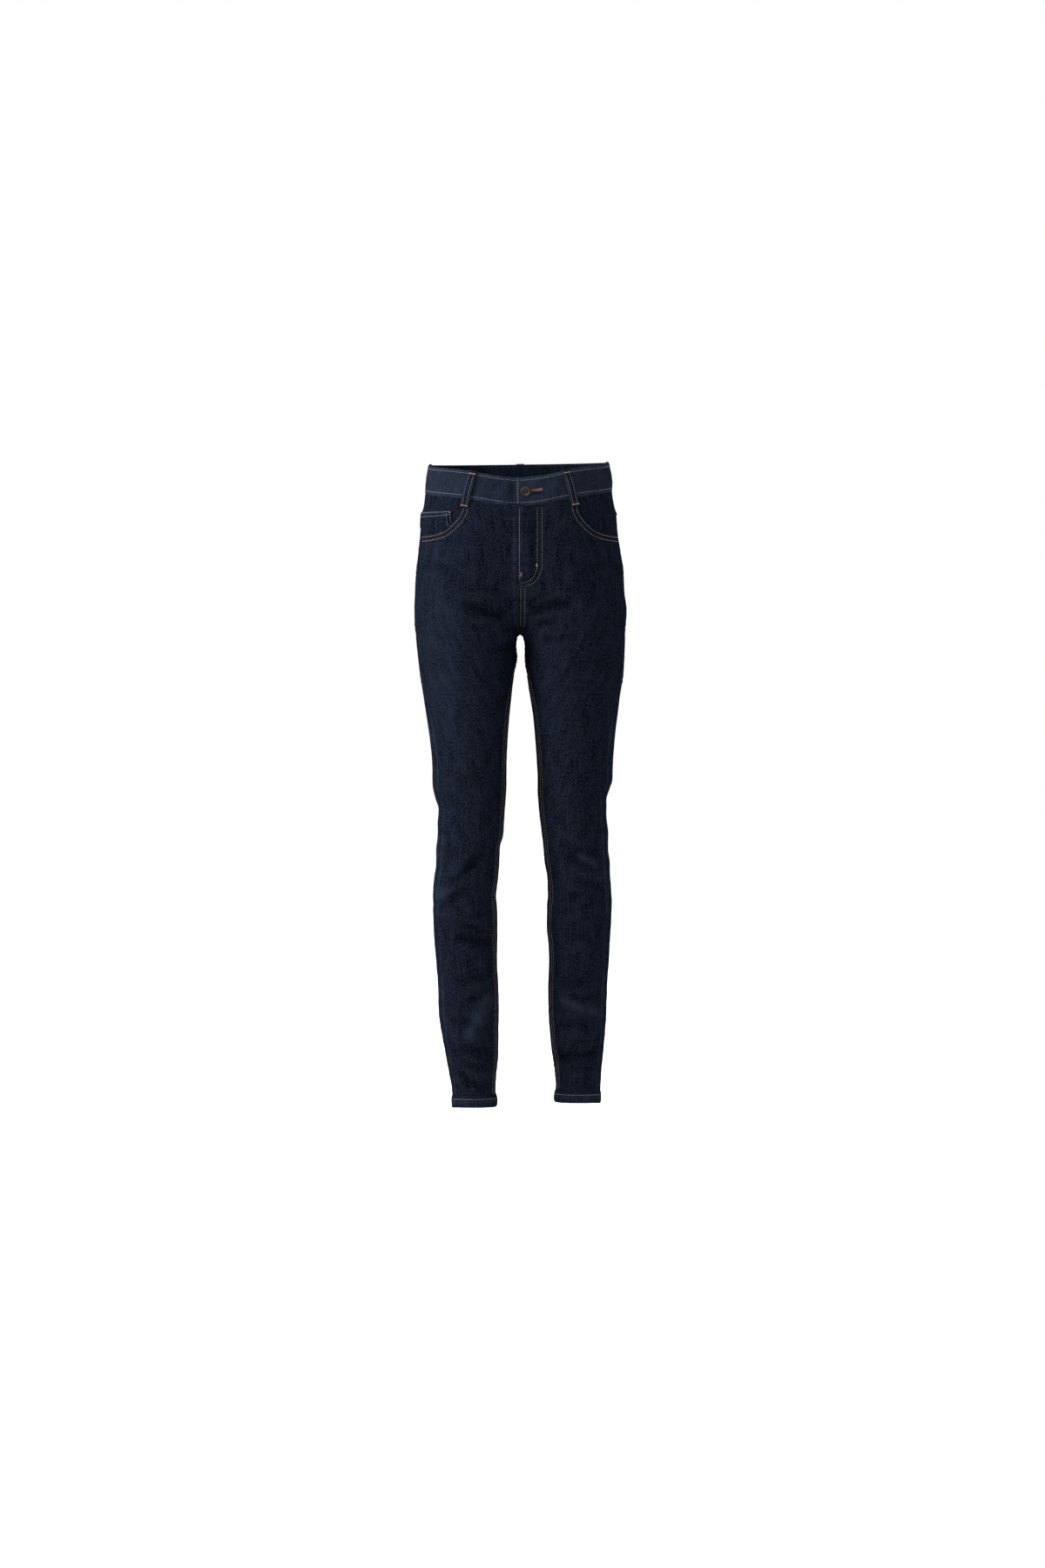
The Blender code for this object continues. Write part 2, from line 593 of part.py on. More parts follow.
def make_wall(name, outer, inner, material, collection, ring=False):
    """A closed body between two grids of points: a loft with a rim, or a ring of stations."""
    rows, columns = len(outer), len(outer[0])
    points = [p * MM for grid in (outer, inner) for row in grid for p in row]
    offset = rows * columns

    def index(i, j, layer):
        return layer * offset + i * columns + j % columns

    faces = []
    for i in range(rows - 1):
        for j in range(columns if ring else columns - 1):
            a, b, c, d = index(i, j, 0), index(i + 1, j, 0), index(i + 1, j + 1, 0), index(i, j + 1, 0)
            faces.append((a, b, c, d))
            faces.append(tuple(k + offset for k in (a, d, c, b)))
    rim = [((0, j), (0, j + 1)) for j in range(columns if ring else columns - 1)]
    rim += [((rows - 1, j + 1), (rows - 1, j)) for j in range(columns if ring else columns - 1)]
    if not ring:
        rim += [((i + 1, 0), (i, 0)) for i in range(rows - 1)]
        rim += [((i, columns - 1), (i + 1, columns - 1)) for i in range(rows - 1)]
    for (i1, j1), (i2, j2) in rim:
        faces.append((index(i1, j1, 0), index(i2, j2, 0), index(i2, j2, 1), index(i1, j1, 1)))
    mesh = bpy.data.meshes.new(name)
    mesh.from_pydata(points, [], faces)
    if signed_volume(mesh) < 0:
        mesh.flip_normals()
    mesh.materials.append(material)
    thing = bpy.data.objects.new(name, mesh)
    collection.objects.link(thing)
    return thing


def signed_volume(mesh):
    """The volume inside a closed mesh, below 0 where its faces point in."""
    mesh.calc_loop_triangles()
    corners = [[mesh.vertices[i].co for i in triangle.vertices] for triangle in mesh.loop_triangles]
    return sum(a.dot(b.cross(c)) for a, b, c in corners) / 6


def build_leg_panels(material, collection):
    """Four leg panels from the waist to the hems. Returns their spots for what lies on them."""
    panels = {}
    for side in SIDES:
        for face in ("front", "back"):
            spots = panel_spots(side, face)
            panels[face, side] = spots
            trimmed = pulled_in(spots)
            make_wall(
                f"{face}_{side}", moved(trimmed, 0.0), moved(trimmed, -PANEL_THICK), material, collection
            )
    return panels


def build_yokes(material, collection):
    """Back yokes between the waistband and the back panels, deepest at the centre seam."""
    for side in SIDES:
        rows = []
        for i in range(YOKE_ROWS + 1):
            row = []
            for s in top_shares(side, "back"):
                high = waist_z(side, "back", s)
                low = top_z(side, "back", 0, s)
                row.append(skin(side, "back", s, high + (low - high) * i / YOKE_ROWS))
            rows.append(row)
        trimmed = pulled_in(rows)
        make_wall(f"yoke_{side}", moved(trimmed, 0.0), moved(trimmed, -PANEL_THICK), material, collection)


def facing_spots(side, tuck, coin_room):
    """The facing behind a hand pocket's mouth: level with the cloth at the side, tucked at the mouth."""
    shares = top_shares(side, "front")[: POCKET_COLUMNS + 2]
    tops = [Top(s, top_z(side, "front", j, s)) for j, s in enumerate(shares)]
    second_row = row_heights("front", WAIST_SEAM_Z)[1]
    columns = []
    for j, top in enumerate(tops):
        high = waist_z(side, "front", top.s)
        low = panel_place(side, "front", j, top, second_row, WAIST_SEAM_Z)[1]
        if j < POCKET_COLUMNS:
            first = COIN_TOP_Z if j <= COIN_COLUMNS else high + (top.z - high) * FACING_FIRST_ROW
            heights = [high, 0.5 * (high + first), first, 0.5 * (first + top.z), top.z, low]
            before, after = tops[max(j - 1, 0)], tops[j + 1]
            run = base_point(side, "front", *before).x - base_point(side, "front", *after).x
            reach = FACING_RISE * math.hypot(1.0, (after.z - before.z) / run)
        else:
            heights = [high + (low - high) * i / FACING_ROWS for i in range(FACING_ROWS + 1)]
            reach = math.inf
        room = coin_room * min(max(POCKET_COLUMNS - j, 0) / (POCKET_COLUMNS - COIN_COLUMNS), 1.0)
        column = []
        for z in heights:
            rise = eased((z - top.z) / reach, 0, 1)
            column.append(skin(side, "front", top.s, z, -(tuck + room) * (1 - rise)))
        columns.append(column)
    return [list(row) for row in zip(*columns)]


def build_front_pockets(denim, collection):
    """The facings in the pocket mouths, and the coin pocket on the right one."""
    for side in SIDES:
        layers = 2 if side == "right" else 1
        spots = facing_spots(side, PANEL_THICK + PATCH_GAP, (layers - 1) * (LAYER_THICK + LAYER_GAP))
        trimmed = pulled_in(spots, "ts")
        make_wall(
            f"pocket_facing_{side}", moved(trimmed, 0.0), moved(trimmed, -LAYER_THICK), denim, collection
        )
        if side == "right":
            coin = [row[: COIN_COLUMNS + 1] for row in trimmed[COIN_ROW:]]
            out = LAYER_GAP + LAYER_THICK
            make_wall("coin_pocket", moved(coin, out), moved(coin, LAYER_GAP), denim, collection)


def build_back_pockets(panels, denim, collection):
    """Plain patch pockets with a pointed lower edge, laid on the seat along the panel's own rows."""
    whole_rows = range(BACK_POCKET_FIRST_ROW, BACK_POCKET_LAST_ROW + 1)
    for side in SIDES:
        spots = panels["back", side]
        rows = []
        for i in [*whole_rows, BACK_POCKET_LAST_ROW + BACK_POCKET_HEM]:
            share = (i - BACK_POCKET_FIRST_ROW) / (BACK_POCKET_LAST_ROW - BACK_POCKET_FIRST_ROW)
            first = BACK_POCKET_FIRST_COLUMN + BACK_POCKET_TAPER * share
            last = BACK_POCKET_LAST_COLUMN - BACK_POCKET_TAPER * share
            row = []
            for j in [first, *range(math.ceil(first + 0.001), math.ceil(last)), last]:
                inward = 1 - abs(2 * (j - first) / (last - first) - 1)
                down = inward * BACK_POCKET_POINT if i > BACK_POCKET_LAST_ROW else 0.0
                row.append(spot_on(spots, i + down, j))
            rows.append(row)
        outer, inner = moved(rows, PATCH_GAP + LAYER_THICK), moved(rows, PATCH_GAP)
        make_wall(f"back_pocket_{side}", outer, inner, denim, collection)


def flat_strip(from_x, to_x, to_z, rows, out):
    """Spots behind the fly, between two distances from the middle plane (+ is the left side)."""
    columns = []
    for k in range(FLY_COLUMNS + 1):
        x = from_x + (to_x - from_x) * k / FLY_COLUMNS
        side = "left" if x >= 0 else "right"
        high = waist_z(side, "front", share_at_x(side, "front", abs(x), WAIST_SEAM_Z)) - SEAM_GAP
        column = []
        for i in range(rows + 1):
            z = high + (to_z - high) * i / rows
            s = 1.0 if abs(x) < 1e-6 else share_at_x(side, "front", abs(x), z)
            column.append(skin(side, "front", s, z, out))
        columns.append(column)
    return [list(row) for row in zip(*columns)]


def build_fly(denim, brass, collection):
    """The closed zip behind the left front's edge and the shield behind the zip."""
    zip_out = -PANEL_THICK - PATCH_GAP
    zip_spots = flat_strip(ZIP_FROM_X, ZIP_TO_X, ZIP_END_Z, FLY_ROWS, zip_out)
    make_wall("zip", moved(zip_spots, 0.0), moved(zip_spots, -LAYER_THICK), brass, collection)
    shield_out = zip_out - LAYER_THICK - PATCH_GAP
    shield = flat_strip(SHIELD_FROM_X, SHIELD_TO_X, SHIELD_END_Z, FLY_ROWS, shield_out)
    make_wall("fly_shield", moved(shield, 0.0), moved(shield, -LAYER_THICK), denim, collection)


Station = namedtuple("Station", "side face s depth")


def band_stations():
    """Places around the waist, from the lapped end over the centre, right round to the underlap."""
    stations = []

    def front(x, depth=0.0):
        side = "left" if x >= 0 else "right"
        s = 1.0 if x == 0 else share_at_x(side, "front", abs(x), WAIST_SEAM_Z)
        stations.append(Station(side, "front", s, depth))

    for x in (-BAND_LAP, 0.0, *BAND_BUTTON_STEPS, BAND_UNDERLAP):
        front(x)
    for s in reversed(top_shares("left", "front")[:BAND_FRONT_COLUMNS]):
        stations.append(Station("left", "front", s, 0.0))
    stations += [Station("left", "back", j / COLUMNS, 0.0) for j in range(1, COLUMNS + 1)]
    stations += [Station("right", "back", j / COLUMNS, 0.0) for j in range(COLUMNS - 1, 0, -1)]
    for s in top_shares("right", "front")[:BAND_FRONT_COLUMNS]:
        stations.append(Station("right", "front", s, 0.0))
    below = BAND_THICK + LAYER_GAP
    for x, share in BAND_DIVE:
        front(x, below * share)
    for x in (0.0, *BAND_BUTTON_STEPS, BAND_UNDERLAP):
        front(x, below)
    return stations


def band_spot(side, face, s, height, out):
    """A spot on the waistband's outer face at a height above its lower edge."""
    return skin(side, face, s, waist_z(side, face, s) + height, BAND_OUT + out)


def build_waistband(denim, cutters, collection):
    """One straight band, folded double, with its front end lapped over the underlap."""
    stations = band_stations()
    rows = []
    for share in BAND_ROW_SHARES:
        height = SEAM_GAP / 2 + (BAND_HEIGHT - SEAM_GAP / 2) * share
        rows.append([band_spot(p.side, p.face, p.s, height, -p.depth) for p in stations])
    outer = moved(rows, 0.0)
    inner = moved(rows, -BAND_THICK)
    for j in range(len(stations)):
        rim_in = (outer[-1][j] - inner[-1][j]) * BAND_RIM_SHARE
        outer[-1][j] = outer[-1][j] - rim_in
        inner[-1][j] = inner[-1][j] + rim_in
    band = make_wall("waistband", outer, inner, denim, collection)
    for cutter in cutters:
        cut = band.modifiers.new("Cut " + cutter.name, "BOOLEAN")
        cut.operation = "DIFFERENCE"
        cut.solver = "EXACT"
        cut.object = cutter
    return band


def button_frame():
    """The button's seat on the band's outer face, with its axis pointing out."""
    s = share_at_x("left", "front", BUTTON_X, WAIST_SEAM_Z)
    spot = band_spot("left", "front", s, BAND_HEIGHT * 0.5, 0.0)
    turn = Vector((0, 0, 1)).rotation_difference(spot.normal).to_matrix().to_4x4()
    return Matrix.Translation(spot.point * MM) @ turn


def build_button(frame, metal, collection):
    """A turned tack button: cap, shank through the buttonhole, stem and back plate."""
    outline = [(radius * MM, 0, height * MM) for radius, height in BUTTON_PROFILE]
    mesh = bpy.data.meshes.new("button")
    mesh.from_pydata(outline, [(i, i + 1) for i in range(len(outline) - 1)], [])
    mesh.materials.append(metal)
    button = bpy.data.objects.new("button", mesh)
    button.matrix_world = frame
    collection.objects.link(button)
    screw = button.modifiers.new("Turn", "SCREW")
    screw.steps = BUTTON_STEPS
    screw.render_steps = BUTTON_STEPS
    screw.use_merge_vertices = True
    screw.merge_threshold = 0.00001
    screw.use_smooth_shade = True
    return button


def make_cutter(name, frame, shift, size, collection, round_steps=0):
    """A guide body that cuts the band, kept out of the model."""
    if round_steps:
        bpy.ops.mesh.primitive_cylinder_add(vertices=round_steps, radius=size.x * MM / 2, depth=size.z * MM)
    else:
        bpy.ops.mesh.primitive_cube_add(size=MM)
    cutter = bpy.context.object
    if not round_steps:
        cutter.data.transform(Matrix.Diagonal((*size, 1.0)))
    cutter.name = name
    cutter.matrix_world = frame @ Matrix.Translation(shift * MM)
    for holder in list(cutter.users_collection):
        holder.objects.unlink(cutter)
    collection.objects.link(cutter)
    cutter.hide_render = True
    cutter.display_type = "WIRE"
    return cutter


def build_buttonhole_cutters(frame, collection):
    """The eye and slit of the buttonhole in the lapped end, and the stem's hole in the underlap."""
    middle = -(BAND_THICK + LAYER_GAP / 2)
    eye = Vector((BUTTON_EYE, BUTTON_EYE, -2 * middle))
    slit = Vector((BUTTONHOLE_LENGTH, BUTTONHOLE_SLIT, -2 * middle))
    hole = Vector((BUTTON_STEM_HOLE, BUTTON_STEM_HOLE, BAND_THICK * 3))
    return [
        make_cutter("cut_eye", frame, Vector((0, 0, 0)), eye, collection, BUTTON_STEPS),
        make_cutter("cut_slit", frame, Vector((BUTTONHOLE_LENGTH / 2, 0, 0)), slit, collection),
        make_cutter("cut_stem", frame, Vector((0, 0, middle - hole.z / 2)), hole, collection, BUTTON_STEPS),
    ]


def build_loops(denim, collection):
    """Five belt loops: each lies on the band at both ends and stands off it between them."""
    for loop in LOOPS:
        grid = []
        for height, out in LOOP_PROFILE:
            share = (BAND_HEIGHT - height) / (BAND_HEIGHT - LOOP_PROFILE[-1].height)
            centre = loop.x_top + (loop.x_bottom - loop.x_top) * share
            row = []
            for k in range(LOOP_COLUMNS + 1):
                offset = LOOP_WIDTH * (k / LOOP_COLUMNS - 0.5)
                side, s = loop_place(loop, centre, offset)
                row.append(band_spot(side, loop.face, s, height, out))
            grid.append(row)
        make_wall(loop.name, moved(grid, LOOP_THICK), moved(grid, 0.0), denim, collection)


def loop_place(loop, centre, offset):
    """The side and s of a spot on a loop, given its distance from the loop's middle line."""
    x = centre + offset
    if loop.name == "loop_back":
        side = "left" if x >= 0 else "right"
        return side, (1.0 if x == 0 else share_at_x(side, loop.face, abs(x), WAIST_SEAM_Z))
    if loop.face == "back":
        return loop.side, loop.s + offset / LOOP_SIDE_ARC
    return loop.side, share_at_x(loop.side, loop.face, x, WAIST_SEAM_Z)


def build_hems(denim, collection):
    """Turned hems: a doubled ring at the end of each leg."""
    for side in SIDES:
        places = [("front", j / COLUMNS) for j in range(COLUMNS)]
        places += [("back", 1 - j / COLUMNS) for j in range(COLUMNS)]
        outer, inner = [], []
        for ring in HEM_PROFILE:
            z = HEM_Z + ring.height
            outer.append([skin(side, face, s, z - hem_drop(face, s), ring.out).point for face, s in places])
            inner.append([skin(side, face, s, z - hem_drop(face, s), ring.inside).point for face, s in places])
        make_wall(f"hem_{side}", outer, inner, denim, collection, ring=True)


def clear_scene():
    """Remove whatever the scene holds."""
    for thing in list(bpy.data.objects):
        bpy.data.objects.remove(thing, do_unlink=True)


def main():
    """Build every piece of the jeans."""
    clear_scene()
    garment = make_collection("slim_jeans")
    guides = make_collection("cutters")
    denim = make_material("indigo stretch denim", (0.012, 0.016, 0.026), 0.85)
    brass = make_material("brass zip", (0.25, 0.18, 0.08), 0.4, 0.8)
    metal = make_material("antiqued metal", (0.07, 0.06, 0.055), 0.4, 1.0)
    panels = build_leg_panels(denim, garment)
    build_yokes(denim, garment)
    build_front_pockets(denim, garment)
    build_back_pockets(panels, denim, garment)
    build_fly(denim, brass, garment)
    frame = button_frame()
    build_waistband(denim, build_buttonhole_cutters(frame, guides), garment)
    build_button(frame, metal, garment)
    build_loops(denim, garment)
    build_hems(denim, garment)


main()
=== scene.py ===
"""Slim five-pocket jeans in dark indigo stretch denim, in the shape they keep when worn.

Every piece of cloth is a thin shell on one skin, whose sections, folds and creases were placed
in millimetres. The stitches, the button and the zip are built one by one. The jeans face
-Y, +X is the wearer's left and +Z is up, with the origin in the middle of the waistband's ring.
"""

import logging
import math
from dataclasses import dataclass
from enum import Enum, StrEnum
from typing import NamedTuple, Sequence

import bmesh
import bpy
import numpy as np
from mathutils import Matrix, Vector
from numpy.typing import NDArray


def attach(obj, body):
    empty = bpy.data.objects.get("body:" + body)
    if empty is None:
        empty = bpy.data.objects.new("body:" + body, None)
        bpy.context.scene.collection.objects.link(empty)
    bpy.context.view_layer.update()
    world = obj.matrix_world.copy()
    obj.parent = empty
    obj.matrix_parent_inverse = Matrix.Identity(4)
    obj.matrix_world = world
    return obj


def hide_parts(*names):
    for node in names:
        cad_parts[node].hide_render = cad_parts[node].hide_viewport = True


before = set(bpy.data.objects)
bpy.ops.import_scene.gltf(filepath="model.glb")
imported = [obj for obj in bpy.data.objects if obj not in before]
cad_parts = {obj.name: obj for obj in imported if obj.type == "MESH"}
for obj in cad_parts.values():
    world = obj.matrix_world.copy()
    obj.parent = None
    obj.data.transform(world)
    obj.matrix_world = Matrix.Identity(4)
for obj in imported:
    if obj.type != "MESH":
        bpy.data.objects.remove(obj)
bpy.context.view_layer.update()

Array = NDArray[np.float64]
Thing = bpy.types.Object
log = logging.getLogger("slim_jeans")

MM = 0.001
# Sizes of the garment, in millimetres
PANEL_THICK = 1.5
LAYER_THICK = 1.2
BAND_THICK = 3.0
BAND_OUT = 0.8
BAND_HEIGHT = 41.5
SEAM_GAP = 0.3
LAYER_GAP = 0.3
PATCH_GAP = 0.5
WAIST_SEAM_Z = -15.6
WAIST_ROLL = 0.014
WAIST_TILT_FRONT = 0.12
WAIST_TILT_BACK = 0.03
WAIST_DIP = 13.5
WAIST_DIP_REACH = 145.0
WAIST_DIP_POWER = 4.3
HEM_Z = -968.0
HEM_DROP_OUTER = 7.5
HEM_DROP_INNER = 4.5
HEM_DROP_FROM_Z = -860.0
HEM_HEIGHT = 18.0
FORK_Z = -238.0
FORK_Y = 5.0
RISE_CURVE_HEIGHT = 100.0
RISE_CURVE_FRONT = 101.0
RISE_CURVE_BACK = 113.0
FORK_ARCH = 5.0
FORK_EASE_Z = -300.0
SECTION_ROUND = 0.93
SIDE_SEAM_FORWARD = 0.15
SIDE_SEAM_TURN = (-200.0, -430.0)
INSEAM_FORWARD = 0.10
INSEAM_TURN = (-245.0, -360.0)
NORMAL_STEP_S = 0.004
NORMAL_STEP_Z = 0.4
FOLD_FACING = (-10.0, 25.0)
POCKET_CORNER_X = 88.0
EVEN_COLUMNS_FROM_Z = -95.0
EVEN_COLUMNS_TO_Z = -150.0
EVEN_ROWS_FROM_Z = -150.0
# Shares of the way from the side seam to the mouth's corner, which is column 6
TOP_COLUMN_SHARES = [0.0, 0.29, 0.55, 0.73, 0.86, 0.95, 1.0]
CORNER_COLUMN = 6
YOKE_SIDE = 38.0
YOKE_CENTRE = 62.0
COIN_TOP_Z = -49.0
FACING_RISE = 16.0
FACING_CORNER_Z = -55.0
ZIP_FROM_X = 2.0
ZIP_TO_X = 27.0
ZIP_END_Z = -156.0
SHIELD_FROM_X = -9.0
SHIELD_TO_X = 31.0
SHIELD_END_Z = -164.0
BAND_LAP = 5.5
BAND_UNDERLAP = 38.0
BUTTON_X = 8.6
BUTTON_EYE = 5.4
BUTTONHOLE_LENGTH = 24.0
BUTTONHOLE_SLIT = 0.8
BUTTON_STEM_HOLE = 3.2
LOOP_WIDTH = 12.0
LOOP_THICK = 1.5
LOOP_SIDE_ARC = 250.0


class Side(StrEnum):
    """The wearer's own sides."""

    LEFT = "left"
    RIGHT = "right"


class Face(StrEnum):
    """The panels of a leg."""

    FRONT = "front"
    BACK = "back"


class Held(StrEnum):
    """How a piece of cloth is held."""

    HUNG = "hung"
    LAID = "laid"


LEFT, RIGHT = Side
FRONT, BACK = Face
# Which way along X each side lies
SIDES = {LEFT: 1, RIGHT: -1}


class Outline(NamedTuple):
    """Half widths seen from the front at a height: the side and, below the fork, the inner edge."""

    z: float
    outer: float
    inner: float = 0.0


class Depth(NamedTuple):
    """How far the front and the back reach at a height."""

    z: float
    front: float
    back: float


class Form(NamedTuple):
    """Where front and back stand out most, and how flatly the cloth bridges to the centre."""

    z: float
    front_peak: float
    back_peak: float
    front_bridge: float
    back_bridge: float


class Fold(NamedTuple):
    """A trough (depth above 0) or ridge across the cloth: ends, half width and depth."""

    x1: float
    z1: float
    x2: float
    z2: float
    width: float
    depth: float


class Crease(NamedTuple):
    """A finer crease that sags by its bend between its ends."""

    x1: float
    z1: float
    x2: float
    z2: float
    width: float
    depth: float
    bend: float


class Mouth(NamedTuple):
    """A spot of the hand pocket's mouth, seen from the front."""

    x: float
    z: float


class LoopRow(NamedTuple):
    """How far a belt loop stands out at a height above the band's lower edge."""

    height: float
    out: float


class Loop(NamedTuple):
    """A belt loop: where it crosses the band's upper edge and where it ends."""

    name: str
    side: Side
    face: Face
    x_top: float
    x_bottom: float
    s: float


class HemRow(NamedTuple):
    """The hem's outer and inner faces at a height."""

    height: float
    out: float
    inside: float


def table(kind: type, rows: Sequence[tuple]) -> list:
    """Rows of numbers as named rows of a kind."""
    return [kind(*row) for row in rows]


OUTLINE = {
    RIGHT: table(Outline, [
        (40, 139.5), (21, 142), (0, 144.5), (-20, 147), (-40, 149.5), (-52, 153), (-75, 154.5),
        (-105, 157.5), (-137, 161), (-170, 163), (-202, 164), (-222, 163.5), (-238, 161.5),
        (-256, 160, 4.9), (-272, 158, 2.5), (-299, 155, 8.1), (-332, 150, 12.5), (-364, 145, 15.7),
        (-397, 140, 18.3), (-440, 136, 20.4), (-468, 135.5, 20.4), (-490, 131, 21.4), (-507, 126, 23),
        (-530, 127.5, 24.5), (-549, 127.5, 26), (-563, 129.5, 30.6), (-590, 130, 31.6), (-614, 133, 33.6),
        (-640, 135, 36.7), (-668, 135, 35.1), (-700, 134, 34.6), (-745, 130.5, 35.1), (-788, 127.5, 33.1),
        (-821, 127, 32.6), (-854, 123, 33.1), (-887, 117, 33.1), (-920, 111, 36.2), (-945, 106.5, 37.7),
        (-968, 105.5, 36.5),
    ]),
    LEFT: table(Outline, [
        (40, 135.5), (21, 138), (0, 141), (-20, 142.5), (-40, 146), (-52, 149), (-75, 150.5), (-105, 155),
        (-137, 160), (-170, 161.5), (-202, 165), (-222, 163.5), (-238, 162.5), (-256, 162, 6.2),
        (-278, 161, 6.2), (-299, 160, 9.8), (-332, 155, 14.1), (-364, 151, 19.4), (-397, 147, 22.5),
        (-440, 144, 25.5), (-462, 143.5, 26.5), (-478, 138.5, 26.5), (-494, 134, 27.6), (-516, 134, 29.6),
        (-549, 137, 33.6), (-570, 137, 35.7), (-592, 139.5, 37.7), (-614, 140, 41.7), (-640, 142, 42.7),
        (-662, 143, 41.2), (-690, 142, 40.7), (-723, 140, 43.7), (-745, 139, 44.7), (-788, 136.5, 43.2),
        (-821, 135.5, 43.7), (-854, 134, 45.7), (-887, 131.5, 48.7), (-920, 128, 53.8),
        (-945, 126.5, 55.8), (-968, 126, 54.5),
    ]),
}

DEPTH = {
    RIGHT: table(Depth, [
        (40, -96, 101), (0, -99, 103), (-25, -100, 106), (-60, -101, 114), (-100, -101, 124),
        (-140, -99, 131), (-170, -97, 131), (-205, -95, 121), (-238, -93, 105), (-260, -92, 94),
        (-300, -92, 80), (-350, -93, 64), (-400, -94, 50), (-450, -96, 40), (-500, -97, 31),
        (-550, -98, 24), (-600, -99, 20), (-650, -96, 22), (-700, -90, 30), (-750, -84, 35),
        (-800, -77, 37), (-850, -71, 36), (-900, -65, 36), (-968, -59, 37),
    ]),
    LEFT: table(Depth, [
        (40, -96, 101), (0, -99, 103), (-25, -100, 106), (-60, -101, 114), (-100, -101, 124),
        (-140, -99, 131), (-170, -97, 131), (-205, -95, 121), (-238, -92, 105), (-260, -90, 96),
        (-300, -86, 86), (-350, -82, 74), (-400, -78, 66), (-450, -74, 62), (-500, -70, 58),
        (-550, -67, 55), (-600, -64, 54), (-650, -59, 58), (-700, -52, 68), (-750, -45, 74),
        (-800, -37, 78), (-850, -29, 79), (-900, -21, 80), (-968, -13, 83),
    ]),
}

# Where the centre seams lie
RISE = table(Depth, [
    (40, -96, 101), (0, -99, 103), (-40, -100.5, 107), (-60, -100.5, 111), (-100, -99, 117),
    (-138, -96, 118),
])

FORM = table(Form, [
    (40, 0.18, 0.20, 1, 1), (-25, 0.20, 0.27, 1, 1), (-60, 0.23, 0.36, 1, 1), (-100, 0.30, 0.43, 1, 1),
    (-140, 0.37, 0.46, 1, 0.9), (-190, 0.46, 0.49, 0.85, 0.6), (-220, 0.50, 0.50, 0.4, 0.3),
    (-238, 0.51, 0.50, 0, 0), (-280, 0.50, 0.50, 0, 0), (-968, 0.50, 0.50, 0, 0),
])

FOLDS = {
    (RIGHT, FRONT): table(Fold, [
        (-82, -193, -30, -208, 7, 2.4), (-72, -590, -108, -618, 8, 3.4), (-90, -594, -120, -636, 8, -2.6),
        (-50, -708, -92, -704, 8, 2.6), (-58, -765, -84, -770, 7, 1.8), (-50, -800, -78, -856, 10, -2.4),
        (-56, -878, -92, -878, 8, 2.4), (-58, -940, -92, -918, 6, 1.8),
    ]),
    (LEFT, FRONT): table(Fold, [
        (22, -204, 74, -189, 7, 2.2), (30, -222, 56, -216, 6, 1.6), (98, -580, 124, -606, 8, -2.6),
        (78, -582, 124, -604, 6, 2.6), (80, -642, 90, -642, 7, 1.8), (70, -778, 94, -776, 8, 2.4),
        (68, -806, 116, -824, 8, -2.2), (64, -896, 114, -888, 8, 2.6),
    ]),
    (RIGHT, BACK): table(Fold, [
        (-60, -218, -120, -232, 10, 3), (-50, -566, -118, -578, 9, 3.2), (-56, -604, -124, -598, 9, 3),
        (-52, -640, -104, -648, 8, 2.4), (-50, -880, -96, -872, 8, 2.2),
    ]),
    (LEFT, BACK): table(Fold, [
        (60, -218, 120, -232, 10, 3), (56, -570, 124, -562, 9, 3.2), (58, -600, 130, -610, 9, 3),
        (70, -648, 126, -640, 8, 2.4), (68, -872, 112, -884, 8, 2.2),
    ]),
}

